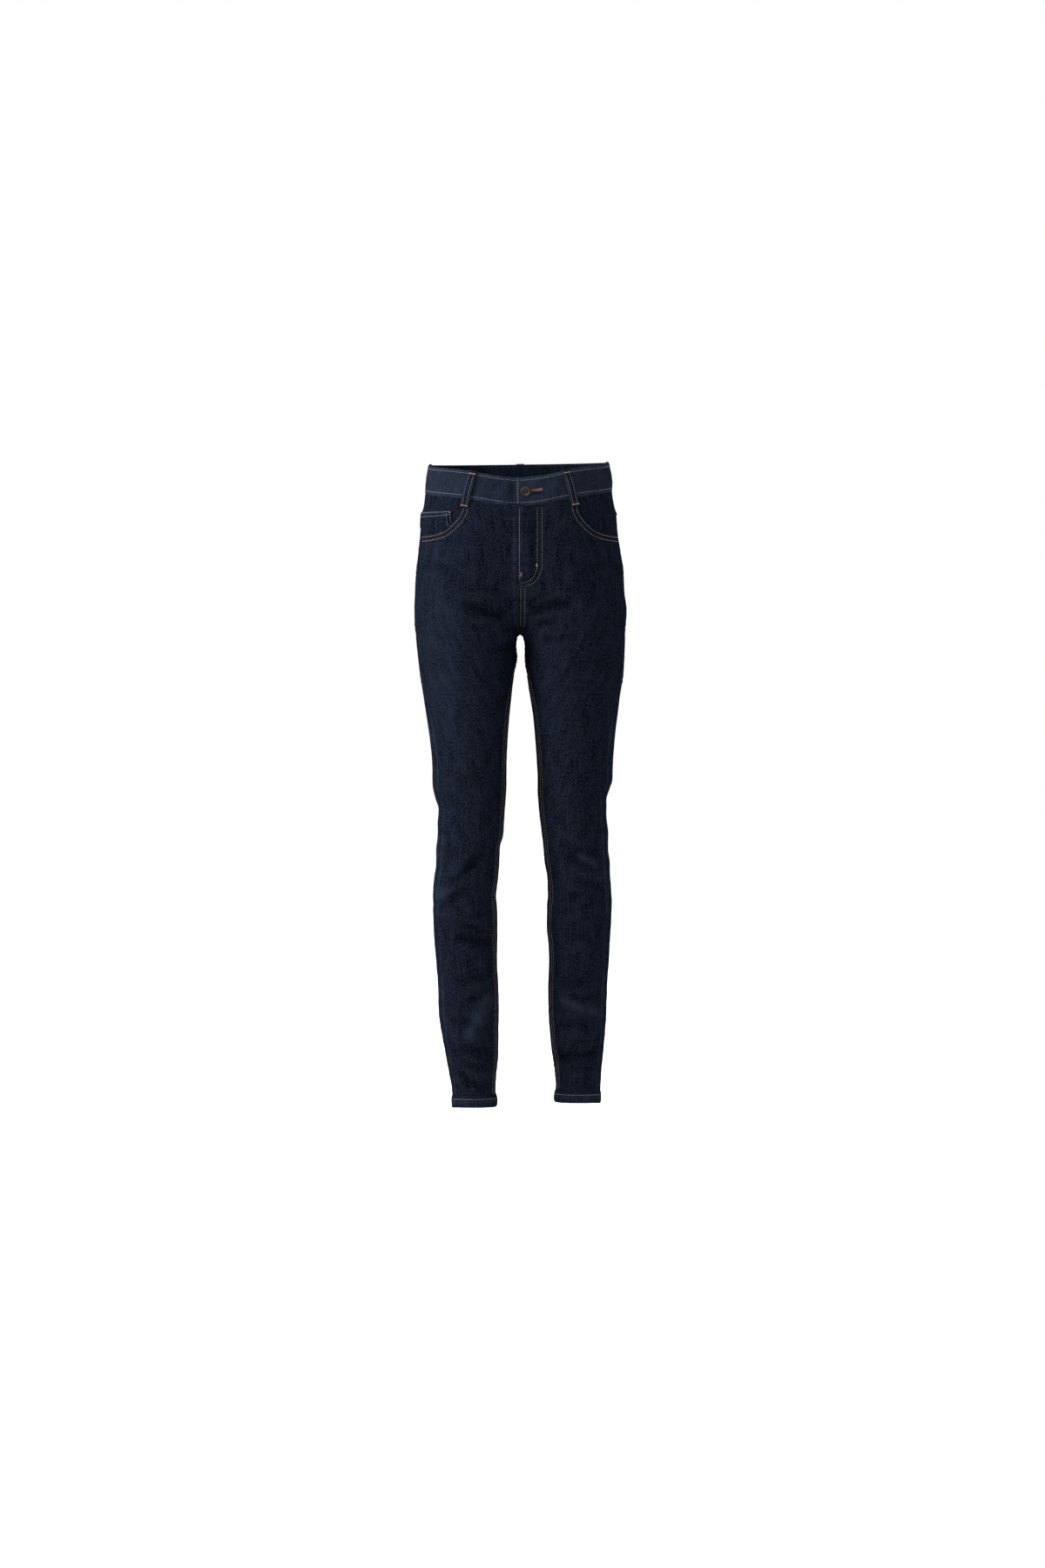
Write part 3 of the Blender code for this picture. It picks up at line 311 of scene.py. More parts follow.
# Finer creases, seen from the front or the back
CREASES = {
    (RIGHT, FRONT): table(Crease, [
        (-86, -194, -32, -211, 7, 1.1, -3), (-28, -176, -64, -168, 5, 0.9, -2),
        (-40, -222, -72, -229, 4, 0.9, 2), (-14, -250, -46, -262, 5, 1, 3),
        (-96, -150, -138, -132, 7, 0.8, -3), (-60, -574, -96, -596, 5, 1.2, 4),
        (-66, -624, -112, -652, 6, 1.3, -5), (-48, -660, -84, -668, 5, 1, 3),
        (-54, -690, -104, -684, 5, 1, -3), (-66, -734, -96, -742, 5, 0.9, 3),
        (-52, -782, -84, -800, 5, 1, 4), (-66, -842, -100, -834, 6, 1, -4),
        (-50, -908, -88, -896, 5, 1.1, 3), (-70, -930, -96, -938, 4, 0.8, 2),
    ]),
    (LEFT, FRONT): table(Crease, [
        (22, -197, 74, -192, 7, 1.1, 3), (28, -220, 56, -225, 5, 1.1, 1), (14, -190, 50, -176, 4, 0.9, 3),
        (36, -246, 84, -240, 5, 1, -3), (92, -148, 136, -126, 7, 0.8, 3), (30, -286, 74, -296, 6, 0.7, 2),
        (66, -560, 112, -574, 6, 1.2, -4), (84, -618, 128, -630, 6, 1.3, 4),
        (60, -664, 100, -656, 5, 1, -3), (72, -706, 118, -716, 5, 0.9, 4), (64, -744, 96, -738, 5, 0.9, 3),
        (84, -800, 124, -792, 5, 1.1, -5), (66, -842, 108, -852, 6, 1.1, 5),
        (76, -872, 116, -866, 5, 1, -3), (70, -920, 112, -912, 5, 1, 4), (84, -938, 116, -942, 4, 0.7, -2),
    ]),
    (RIGHT, BACK): table(Crease, [
        (-40, -244, -112, -262, 8, 1.6, -6), (-52, -276, -124, -280, 8, 1.2, 5),
        (-44, -546, -104, -534, 7, 1.3, 5), (-50, -588, -116, -584, 6, 1.6, -5),
        (-46, -622, -118, -628, 6, 1.7, 6), (-48, -668, -100, -676, 6, 1.2, -4),
        (-56, -760, -110, -772, 8, 1, 5), (-48, -830, -92, -842, 6, 1.1, -4),
        (-52, -902, -98, -910, 6, 1.3, 4),
    ]),
    (LEFT, BACK): table(Crease, [
        (42, -246, 110, -258, 8, 1.6, 6), (50, -280, 122, -274, 8, 1.2, -5),
        (52, -540, 108, -550, 7, 1.3, -5), (58, -584, 120, -588, 6, 1.6, 5),
        (60, -628, 126, -622, 6, 1.7, -6), (62, -672, 116, -664, 6, 1.2, 4),
        (66, -766, 120, -756, 8, 1, -5), (66, -838, 112, -828, 6, 1.1, 4),
        (72, -908, 118, -900, 6, 1.3, -4),
    ]),
}

POCKET_MOUTH = table(Mouth, [
    (88, -30), (90, -46), (94.5, -56), (104, -67), (117.5, -77.5), (135, -82.5), (160, -84.5),
])

LOOP_PROFILE = table(LoopRow, [
    (43, 0.6), (38, 0.6), (34, 2.2), (27, 3), (13, 3), (5, 2.2), (0, 0.8), (-6, 0.2), (-14, 0),
])

LOOPS = [
    Loop("loop_front_right", RIGHT, FRONT, 72, 84, 0),
    Loop("loop_front_left", LEFT, FRONT, 70, 82.5, 0),
    Loop("loop_side_right", RIGHT, BACK, 0, 0, 0.14),
    Loop("loop_side_left", LEFT, BACK, 0, 0, 0.14),
    Loop("loop_back", LEFT, BACK, 0, 0, 1),
]

HEM_PROFILE = table(HemRow, [
    (17.85, 0.9, -2.1), (11, 1.3, -2.1), (3, 1, -2), (0, -0.1, -1.3),
])

# The fly's curved lines on the left front, from the waistband down to the centre seam
FLY_CURVES = {
    "inner": [
        (26.1, -44), (26.1, -131.6), (25.2, -139), (23.1, -144.6), (19.6, -150.6), (15.1, -155),
        (9, -157.4), (1.5, -158.2),
    ],
    "outer": [
        (33.4, -44), (33.5, -131.6), (32.6, -139), (30.9, -144.6), (27.6, -151), (23.1, -156.4),
        (13.8, -162.3), (1.5, -164.2),
    ],
}

# Radius and height of the button from the cap's hollow round to the back plate
BUTTON_FINE = [
    (0.4, 2), (2, 1.9), (3.6, 1.95), (4.6, 2.1), (5.1, 2.5), (5.7, 2.8), (6.3, 2.85), (6.9, 2.6),
    (7.35, 2.2), (7.6, 1.6), (7.6, 1.1), (7.3, 0.55), (6.4, 0.3), (2.3, 0.3), (2.3, -3), (1.2, -3.1),
    (1.2, -6.7), (4.4, -6.7), (4.5, -7.2), (4, -7.6), (0.4, -7.7),
]

# How much deeper than on the solids the folds are, and how strongly the finer creases show
FOLD_STRENGTH = 1.6
CREASE_STRENGTH = 2.2
# Where the worn cloth is least even, at the knees, the calves and the crotch: size, height, reach
UNEVEN = [(0.75, -610.0, 90.0), (0.6, -860.0, 120.0), (0.4, -230.0, 45.0)]
# Heights between which the left front's lap over the right one begins
LAP_START = (-172.0, -160.0)


def eased(value: Array | float, start: float, end: float) -> Array:
    """0 at start, 1 at end, with a soft beginning and end."""
    t = np.clip((np.asarray(value, float) - start) / (end - start), 0.0, 1.0)
    return t * t * (3 - 2 * t)


def bump(value: Array, middle: float, width: float) -> Array:
    """1 at the middle, fading away on both sides."""
    return np.exp(-(((value - middle) / width) ** 2))


class Curve:
    """A smooth curve through one column of a table of heights, without overshoot."""

    def __init__(self, rows: Sequence[NamedTuple], column: str) -> None:
        """Work out the slopes at the rows.

        Args:
            rows: the table, each row led by its key.
            column: the column's name.
        """
        rows = sorted(rows, key=lambda row: row[0])
        self.keys = np.array([row[0] for row in rows], float)
        self.values = np.array([getattr(row, column) for row in rows], float)
        steps = np.diff(self.keys)
        slopes = np.diff(self.values) / steps
        before, after = slopes[:-1], slopes[1:]
        same = before * after > 0
        w1, w2 = 2 * steps[1:] + steps[:-1], steps[1:] + 2 * steps[:-1]
        safe_before, safe_after = np.where(same, before, 1.0), np.where(same, after, 1.0)
        middle = np.where(same, (w1 + w2) / (w1 / safe_before + w2 / safe_after), 0.0)
        self.tangents = np.concatenate(([slopes[0]], middle, [slopes[-1]]))

    def __call__(self, key: Array | float) -> Array:
        """The curve's value at each height.

        Args:
            key: where to read the curve.

        Returns:
            The values there.
        """
        key = np.clip(np.asarray(key, float), self.keys[0], self.keys[-1])
        i = np.clip(np.searchsorted(self.keys, key, side="right") - 1, 0, len(self.keys) - 2)
        step = self.keys[i + 1] - self.keys[i]
        t = (key - self.keys[i]) / step
        return (
            (2 * t**3 - 3 * t**2 + 1) * self.values[i]
            + (t**3 - 2 * t**2 + t) * step * self.tangents[i]
            + (3 * t**2 - 2 * t**3) * self.values[i + 1]
            + (t**3 - t**2) * step * self.tangents[i + 1]
        )


OUTER = {side: Curve(OUTLINE[side], "outer") for side in SIDES}
INNER = {side: Curve([row for row in OUTLINE[side] if row.z <= FORK_Z], "inner") for side in SIDES}
EDGE = {(side, face): Curve(DEPTH[side], face) for side in SIDES for face in Face}
CENTRE = {face: Curve(RISE, face) for face in Face}
PEAK = {face: Curve(FORM, face + "_peak") for face in Face}
BRIDGE = {face: Curve(FORM, face + "_bridge") for face in Face}
MOUTH_Z = Curve(POCKET_MOUTH, "z")
LOOP_OUT = Curve(LOOP_PROFILE, "out")
HEM_OUT = Curve(HEM_PROFILE, "out")
HEM_INSIDE = Curve(HEM_PROFILE, "inside")
RISE_REACH = {FRONT: -RISE_CURVE_FRONT, BACK: RISE_CURVE_BACK}


def unit(vectors: Array) -> Array:
    """Vectors of length 1."""
    return vectors / np.maximum(np.linalg.norm(vectors, axis=-1, keepdims=True), 1e-12)


def matched(a: Array | float, b: Array | float) -> list[Array]:
    """Both as arrays of numbers in one shape."""
    return np.broadcast_arrays(np.asarray(a, float), np.asarray(b, float))


def run_of(points: Array) -> Array:
    """Lengths along a path from its first point to each one."""
    return np.concatenate(([0.0], np.cumsum(np.linalg.norm(np.diff(points, axis=0), axis=-1))))


def soft_noise(u: Array, v: Array, seed: int, waves: int = 7) -> Array:
    """Smooth uneven relief from about -1 to 1, made of crossing waves.

    Args:
        u: position across, in wave lengths.
        v: position along, in wave lengths.
        seed: picks the waves.
        waves: how many are added.

    Returns:
        The relief at each position.
    """
    rng = np.random.default_rng(seed)
    total = np.zeros(np.broadcast(u, v).shape)
    for _ in range(waves):
        a, b = rng.uniform(-1.3, 1.3, 2)
        total = total + np.sin(2 * math.pi * (a * u + b * v) + rng.uniform(0, 2 * math.pi))
    return total / math.sqrt(waves) / 1.2


@dataclass(frozen=True)
class Spots:
    """Places on the cloth and the ways out of it."""

    points: Array
    normals: Array

    def moved(self, out: Array | float) -> Array:
        """The points moved out from the cloth, in millimetres."""
        return self.points + self.normals * np.asarray(out, float)[..., None]


class Skin:
    """The surface of the worn garment, with its folds, creases and seams."""

    ARC_ROWS = 100
    ARC_COLUMNS = 61

    def __init__(self) -> None:
        """Measure every panel once, for later lengths."""
        self.arc_z = np.linspace(HEM_Z - 10, 40, self.ARC_ROWS)
        self.arc_s = np.linspace(0, 1, self.ARC_COLUMNS)
        self.arcs = {(side, face): self._measure(side, face) for side in SIDES for face in Face}

    def _measure(self, side: Side, face: Face) -> Array:
        """Lengths along a panel from its side seam, for a grid of heights and shares.

        Args:
            side: left or right.
            face: front or back.

        Returns:
            Lengths in millimetres, a row for each height.
        """
        z, s = np.meshgrid(self.arc_z, self.arc_s, indexing="ij")
        points = self.plain(side, face, s, z)[0]
        steps = np.linalg.norm(np.diff(points, axis=1), axis=-1)
        return np.concatenate((np.zeros((len(z), 1)), np.cumsum(steps, axis=1)), axis=1)

    def length(self, side: Side, face: Face, s: Array, z: Array) -> tuple[Array, Array]:
        """Distances along a panel from its side seam and from its inner seam, in millimetres.

        Args:
            side: left or right.
            face: front or back.
            s: shares across.
            z: heights.

        Returns:
            Both distances.
        """
        arc = self.arcs[side, face]
        row = np.clip((z - self.arc_z[0]) / (self.arc_z[1] - self.arc_z[0]), 0, self.ARC_ROWS - 1.001)
        column = np.clip(s, 0, 1) * (self.ARC_COLUMNS - 1) * 0.99999
        i, j = row.astype(int), column.astype(int)
        a, b = row - i, column - j
        upper = arc[i, j] * (1 - b) + arc[i, j + 1] * b
        lower = arc[i + 1, j] * (1 - b) + arc[i + 1, j + 1] * b
        whole = arc[i, -1] * (1 - a) + arc[i + 1, -1] * a
        outer = upper * (1 - a) + lower * a
        return outer, whole - outer

    def share(self, side: Side, face: Face, distance: float, z: Array, inner: bool = True) -> Array:
        """The s of spots at a distance from a panel's inner seam, or from its side seam.

        Args:
            side: left or right.
            face: front or back.
            distance: how far from the seam.
            z: heights in millimetres.
            inner: whether it is the inner seam.

        Returns:
            One share for each height.
        """
        result = []
        for height in np.atleast_1d(z):
            s = self.arc_s
            outer, _ = self.length(side, face, s, np.full_like(s, height))
            wanted = outer[-1] - distance if inner else distance
            result.append(np.interp(wanted, outer, s))
        return np.array(result)

    @staticmethod
    def centre_y(face: Face, z: Array) -> Array:
        """Where a centre seam crosses the middle plane at heights above the fork.

        Args:
            face: front or back.
            z: heights in millimetres.

        Returns:
            The depths there.
        """
        rise = (z - FORK_Z) / RISE_CURVE_HEIGHT
        curved = FORK_Y + RISE_REACH[face] * np.sqrt(np.clip(1 - (1 - rise) ** 2, 0.0, None))
        return np.where(rise >= 1.0, CENTRE[face](z), curved)

    @staticmethod
    def arch_gap(y: Array, z: Array) -> Array:
        """Half the space between the legs below the curved rise.

        Args:
            y: depths in millimetres.
            z: heights in millimetres.

        Returns:
            Half the space, 0 above the rise.
        """
        reach = np.where(y < FORK_Y, RISE_REACH[FRONT], RISE_REACH[BACK])
        share = np.minimum(np.abs((y - FORK_Y) / reach), 1.0)
        rise_z = FORK_Z + RISE_CURVE_HEIGHT * (1 - np.sqrt(1 - share * share))
        drop = np.clip(rise_z - z, 0.0, FORK_ARCH)
        return np.sqrt(np.clip(FORK_ARCH**2 - (FORK_ARCH - drop) ** 2, 0.0, None))

    def base_point(self, side: Side, face: Face, s: Array, z: Array) -> Array:
        """Points of the unfolded skin: s runs from 0 at the side to 1 at the inner edge.

        Args:
            side: left or right.
            face: front or back.
            s: shares across.
            z: heights.

        Returns:
            The points in millimetres.
        """
        s, z = matched(s, z)
        outer, edge = OUTER[side](z), EDGE[side, face](z)
        y_side = 0.5 * (EDGE[side, FRONT](z) + EDGE[side, BACK](z))
        above = z > FORK_Z
        y_leg = y_side + (FORK_Y - y_side) * eased(z, FORK_EASE_Z, FORK_Z)
        inner = np.where(above, 0.0, INNER[side](z))
        y_inner = np.where(above, self.centre_y(face, z), y_leg)
        share = PEAK[face](z)
        peak, turn = inner + (outer - inner) * share, 1.0 - share
        angle = 0.5 * math.pi * np.clip(s / turn, 0.0, 1.0)
        x_out = peak + (outer - peak) * np.clip(np.cos(angle), 0.0, 1.0) ** SECTION_ROUND
        y_out = y_side + (edge - y_side) * np.sin(angle) ** SECTION_ROUND
        u = np.clip((s - turn) / share, 0.0, 1.0)
        angle = 0.5 * math.pi * u
        bridge = BRIDGE[face](z)
        fall = np.clip(np.cos(angle), 0.0, 1.0) ** SECTION_ROUND
        across = (1 - bridge) * np.sin(angle) ** SECTION_ROUND + bridge * u
        along = (1 - bridge) * fall + bridge * 0.5 * (1 + np.cos(math.pi * u))
        x_in = peak + (inner - peak) * across
        y_in = y_inner + (edge - y_inner) * along
        x, y = np.where(s <= turn, x_out, x_in), np.where(s <= turn, y_out, y_in)
        return np.stack((SIDES[side] * np.hypot(x, self.arch_gap(y, z)), y, z), axis=-1)

    def base_normal(self, side: Side, face: Face, s: Array, z: Array) -> Array:
        """The ways out of the unfolded skin.

        Args:
            side: left or right.
            face: front or back.
            s: shares across.
            z: heights.

        Returns:
            Vectors of length 1.
        """
        s, z = matched(s, z)
        above = z > FORK_Z
        s_lo, s_hi = np.clip(s - NORMAL_STEP_S, 0, 1), np.clip(s + NORMAL_STEP_S, 0, 1)
        z_lo = np.where(above, np.maximum(z - NORMAL_STEP_Z, FORK_Z + NORMAL_STEP_Z / 40), z - NORMAL_STEP_Z)
        z_hi = np.where(above, z + NORMAL_STEP_Z, np.minimum(z + NORMAL_STEP_Z, FORK_Z))
        across = self.base_point(side, face, s_hi, z) - self.base_point(side, face, s_lo, z)
        up = self.base_point(side, face, s, z_hi) - self.base_point(side, face, s, z_lo)
        turn = SIDES[side] * (1 if face == FRONT else -1)
        way = np.cross(across, up) * -turn
        high, low = z + NORMAL_STEP_Z, np.maximum(z - NORMAL_STEP_Z, FORK_Z)
        dy = self.centre_y(face, high) - self.centre_y(face, low)
        middle = np.stack((np.zeros_like(z), high - low, -dy), axis=-1) * (1 if face == BACK else -1)
        middle = np.where((z <= FORK_Z)[..., None], np.array([0.0, 0.0, -1.0]), middle)
        return unit(np.where(((s >= 1.0) & (z >= FORK_Z))[..., None], middle, way))

    def plain(self, side: Side, face: Face, s: Array, z: Array) -> tuple[Array, Array]:
        """Points and normals without folds, for shares that run from seam to seam of a panel.

        Args:
            side: left or right.
            face: front or back.
            s: shares across.
            z: heights.

        Returns:
            Both, in millimetres.
        """
        s, z = matched(s, z)
        outer = SIDE_SEAM_FORWARD * eased(z, *SIDE_SEAM_TURN)
        inner = INSEAM_FORWARD * eased(z, *INSEAM_TURN)
        if face == FRONT:
            own = outer + (1 - outer - inner) * s
            return self.base_point(side, face, own, z), self.base_normal(side, face, own, z)
        own = (1 + outer + inner) * s - outer
        ahead = ((own < 0) | (own > 1))[..., None]
        lapped = np.clip(np.where(own < 0, -own, 2 - own), 0, 1)
        own = np.clip(own, 0, 1)
        points = np.where(
            ahead, self.base_point(side, FRONT, lapped, z), self.base_point(side, face, own, z)
        )
        normals = np.where(
            ahead, self.base_normal(side, FRONT, lapped, z), self.base_normal(side, face, own, z)
        )
        return points, normals

    def creases(self, side: Side, points: Array) -> Array:
        """How far the folds and creases draw the cloth in.

        Args:
            side: left or right.
            points: places on the unfolded skin.

        Returns:
            The depths in millimetres, below 0 on ridges.
        """
        x, y, z = points[..., 0], points[..., 1], points[..., 2]
        y_side = 0.5 * (EDGE[side, FRONT](z) + EDGE[side, BACK](z))
        total = np.zeros(x.shape)
        for face, ahead in ((FRONT, y_side - y), (BACK, y - y_side)):
            drawn = np.zeros(x.shape)
            for fold in FOLDS[side, face]:
                line = np.array([fold.x2 - fold.x1, fold.z2 - fold.z1])
                here = np.stack((x - fold.x1, z - fold.z1), axis=-1)
                share = np.clip(here @ line / (line @ line), 0.0, 1.0)
                away = np.linalg.norm(here - share[..., None] * line, axis=-1) / fold.width
                drawn += fold.depth * FOLD_STRENGTH * np.exp(-away * away)
            for crease in CREASES[side, face]:
                line = np.array([crease.x2 - crease.x1, crease.z2 - crease.z1])
                size = np.linalg.norm(line)
                line = line / size
                dx, dz = x - crease.x1, z - crease.z1
                along, off = dx * line[0] + dz * line[1], dz * line[0] - dx * line[1]
                share = np.clip(along / size, 0.0, 1.0)
                off = off - crease.bend * 4 * share * (1 - share)
                away = np.hypot(off, along - share * size) / crease.width
                swell = 0.45 + 0.55 * np.sin(math.pi * share)
                form = np.exp(-away * away) - 0.3 * np.exp(-(((away - 2.0) / 0.9) ** 2))
                drawn += crease.depth * CREASE_STRENGTH * swell * form
            total += eased(ahead, *FOLD_FACING) * drawn
        return total

    def seams(self, side: Side, face: Face, s: Array, z: Array) -> Array:
        """How far the allowances under the cloth and the laps of the seams raise it.

        Args:
            side: left or right.
            face: front or back.
            s: shares across.
            z: heights.

        Returns:
            The relief in millimetres.
        """
        outer, inner = self.length(side, face, s, z)
        wobble = soft_noise(z / 9.0, outer * 0 + z / 23.0, 5)
        wobble_in = soft_noise(z / 8.0, inner * 0 + z / 17.0, 11)
        pressed = 0.55 * (1 - eased(outer, 7.0, 10.5)) * (1 + 0.25 * wobble)
        pressed = pressed - 1.0 * bump(outer, 0.0, 2.6)
        felled = 0.85 if face == FRONT or side == LEFT else 0.35
        lap = felled * (1 - eased(inner, 8.0, 10.5)) + 0.28 * bump(inner, 5.0, 1.9) * (1 + wobble_in)
        lap = lap - 0.3 * bump(inner, 0.0, 2.2)
        pucker = 0.16 * wobble * bump(outer, 4.0, 4.0) + 0.22 * wobble_in * bump(inner, 5.0, 4.5)
        return pressed * eased(z, -44.0, -70.0) + lap + pucker

    def drape(self, side: Side, face: Face, s: Array, z: Array) -> Array:
        """Shallow unevenness of the worn cloth, strongest at the knees and the crotch.

        Args:
            side: left or right.
            face: front or back.
            s: shares across.
            z: heights.

        Returns:
            The relief in millimetres.
        """
        outer, _ = self.length(side, face, s, z)
        seed = {FRONT: 3, BACK: 7}[face] + (20 if side == LEFT else 0)
        fade = np.sin(math.pi * np.clip(s, 0, 1)) ** 0.7
        knee = 0.35 + sum(size * bump(z, middle, reach) for size, middle, reach in UNEVEN)
        cross = soft_noise(outer / 95.0, z / 24.0, seed)
        wide = soft_noise(outer / 60.0, z / 130.0, seed + 1)
        return fade * (0.5 * knee * cross + 0.45 * wide) * eased(z, -60.0, -110.0)

    def spots(self, side: Side, face: Face, s: Array, z: Array, out: Array | float = 0.0) -> Spots:
        """Places on the worn cloth.

        Args:
            side: left or right.
            face: front or back panel.
            s: shares across the panel, 0 at the side seam and 1 at the inner one.
            z: heights in millimetres.
            out: how far outside the cloth.

        Returns:
            The points and the ways out.
        """
        s, z = matched(s, z)
        points, normals = self.plain(side, face, s, z)
        lift = self.seams(side, face, s, z) + self.drape(side, face, s, z) - self.creases(side, points)
        return Spots(points + normals * (lift + out)[..., None], normals)

    def waist_z(self, side: Side, face: Face, s: Array) -> Array:
        """Height of the waistband's lower edge: low in front, high behind.

        Args:
            side: left or right.
            face: front or back.
            s: shares across the panel.

        Returns:
            The heights there.
        """
        s = np.asarray(s, float)
        z = np.full(s.shape, WAIST_SEAM_Z)
        for _ in range(4):
            point = self.base_point(side, face, s, z)
            x, y = point[..., 0], point[..., 1]
            tilt = np.where(y < 0, WAIST_TILT_FRONT, WAIST_TILT_BACK)
            across = np.minimum(np.abs(x) / WAIST_DIP_REACH, 1.0)
            dip = WAIST_DIP * (1 - across**2) ** WAIST_DIP_POWER
            z = WAIST_SEAM_Z + tilt * y + WAIST_ROLL * x - np.where(y < 0, dip, 0.0)
        return z

    def share_at_x(self, side: Side, face: Face, x: Array | float, z: Array | float) -> Array:
        """The s of spots at distances from the middle plane.

        Args:
            side: left or right.
            face: front or back.
            x: distances from the middle plane.
            z: heights in millimetres.

        Returns:
            The shares.
        """
        x, z = matched(x, z)
        low, high = np.zeros(x.shape), np.ones(x.shape)
        for _ in range(26):
            middle = 0.5 * (low + high)
            beyond = np.abs(self.plain(side, face, middle, z)[0][..., 0]) > x
            low, high = np.where(beyond, middle, low), np.where(beyond, high, middle)
        return np.where(x <= 0, 1.0, 0.5 * (low + high))

    def at_xz(self, side: Side, face: Face, x: Array, z: Array, out: Array | float = 0.0) -> Spots:
        """Places on the cloth as seen from the front or the back."""
        return self.spots(side, face, self.share_at_x(side, face, np.abs(x), z), z, out)

    def mouth_z(self, side: Side, s: Array) -> Array:
        """Height of the hand pocket's mouth.

        Args:
            side: left or right.
            s: shares across the panel.

        Returns:
            The heights there.
        """
        z = np.full(np.shape(s), POCKET_MOUTH[-1].z, float)
        for _ in range(8):
            z = MOUTH_Z(np.abs(self.base_point(side, FRONT, s, z)[..., 0]))
        return z

    def top_z(self, side: Side, face: Face, s: Array) -> Array:
        """Height of the seam above a back panel, or of the waist seam above a front one."""
        waist = self.waist_z(side, face, s)
        return waist - YOKE_SIDE - (YOKE_CENTRE - YOKE_SIDE) * s if face == BACK else waist

    def hem_drop(self, face: Face, s: Array) -> Array:
        """How much lower a hem hangs at the sides of a leg than at its front and back.

        Args:
            face: front or back.
            s: shares across the panel.

        Returns:
            The drops in millimetres.
        """
        if face == FRONT:
            own = SIDE_SEAM_FORWARD + (1 - SIDE_SEAM_FORWARD - INSEAM_FORWARD) * s
        else:
            own = (1 + SIDE_SEAM_FORWARD + INSEAM_FORWARD) * s - SIDE_SEAM_FORWARD
            own = np.where(own < 0, -own, np.where(own > 1, 2 - own, own))
        return (HEM_DROP_OUTER + (HEM_DROP_INNER - HEM_DROP_OUTER) * own) * (2 * own - 1) ** 2


class Thread(Enum):
    """Sewing threads by colour, with a darker and a paler shade of each as sRGB, mixed by fine noise."""

    TAN = ("#413529", "#574838")
    SLATE = ("#333841", "#454c57")
    GREY = ("#3b3b3f", "#505055")
    RUST = ("#572e1c", "#743f28")
    BRICK = ("#432419", "#5a3224")
    BROWN = ("#30241e", "#42322b")


def linear_colour(code: str) -> tuple[float, float, float, float]:
    """An sRGB hex colour as linear values with alpha 1."""
    values = [int(code[i : i + 2], 16) / 255 for i in (1, 3, 5)]
    return (*(v / 12.92 if v <= 0.04045 else ((v + 0.055) / 1.055) ** 2.4 for v in values), 1.0)


def add_node(
    tree: bpy.types.NodeTree, kind: str, inputs: dict | None = None, **settings: object
) -> bpy.types.Node:
    """A new shader node.

    Args:
        tree: the material's nodes.
        kind: the node's type.
        inputs: values or sockets for its inputs, by name or number.
        settings: values for its own fields.

    Returns:
        The node.
    """
    node = tree.nodes.new(kind)
    for name, value in settings.items():
        setattr(node, name, value)
    for key, value in (inputs or {}).items():
        if isinstance(value, bpy.types.NodeSocket):
            tree.links.new(value, node.inputs[key])
        else:
            node.inputs[key].default_value = value
    return node


@dataclass(frozen=True)
class DenimLook:
    """One side of the denim: its deep and pale shades, and a paler worn shade used for abraded seams and
    edges and for painted highlight.
    """

    name: str
    deep: str
    pale: str
    worn: str


@dataclass(frozen=True)
class Finish:
    """A finish of two shades in fine uneven grains, counted along a metre."""

    name: str
    dark: str
    pale: str
    grains: float
    detail: float
    roughness: float
    metallic: float = 0.0


@dataclass(frozen=True)
class Grain:
    """An uneven pattern in the cloth: how many to a metre across and up the leg, and its noise."""

    across: float
    up: float
    detail: float
    roughness: float = 0.5


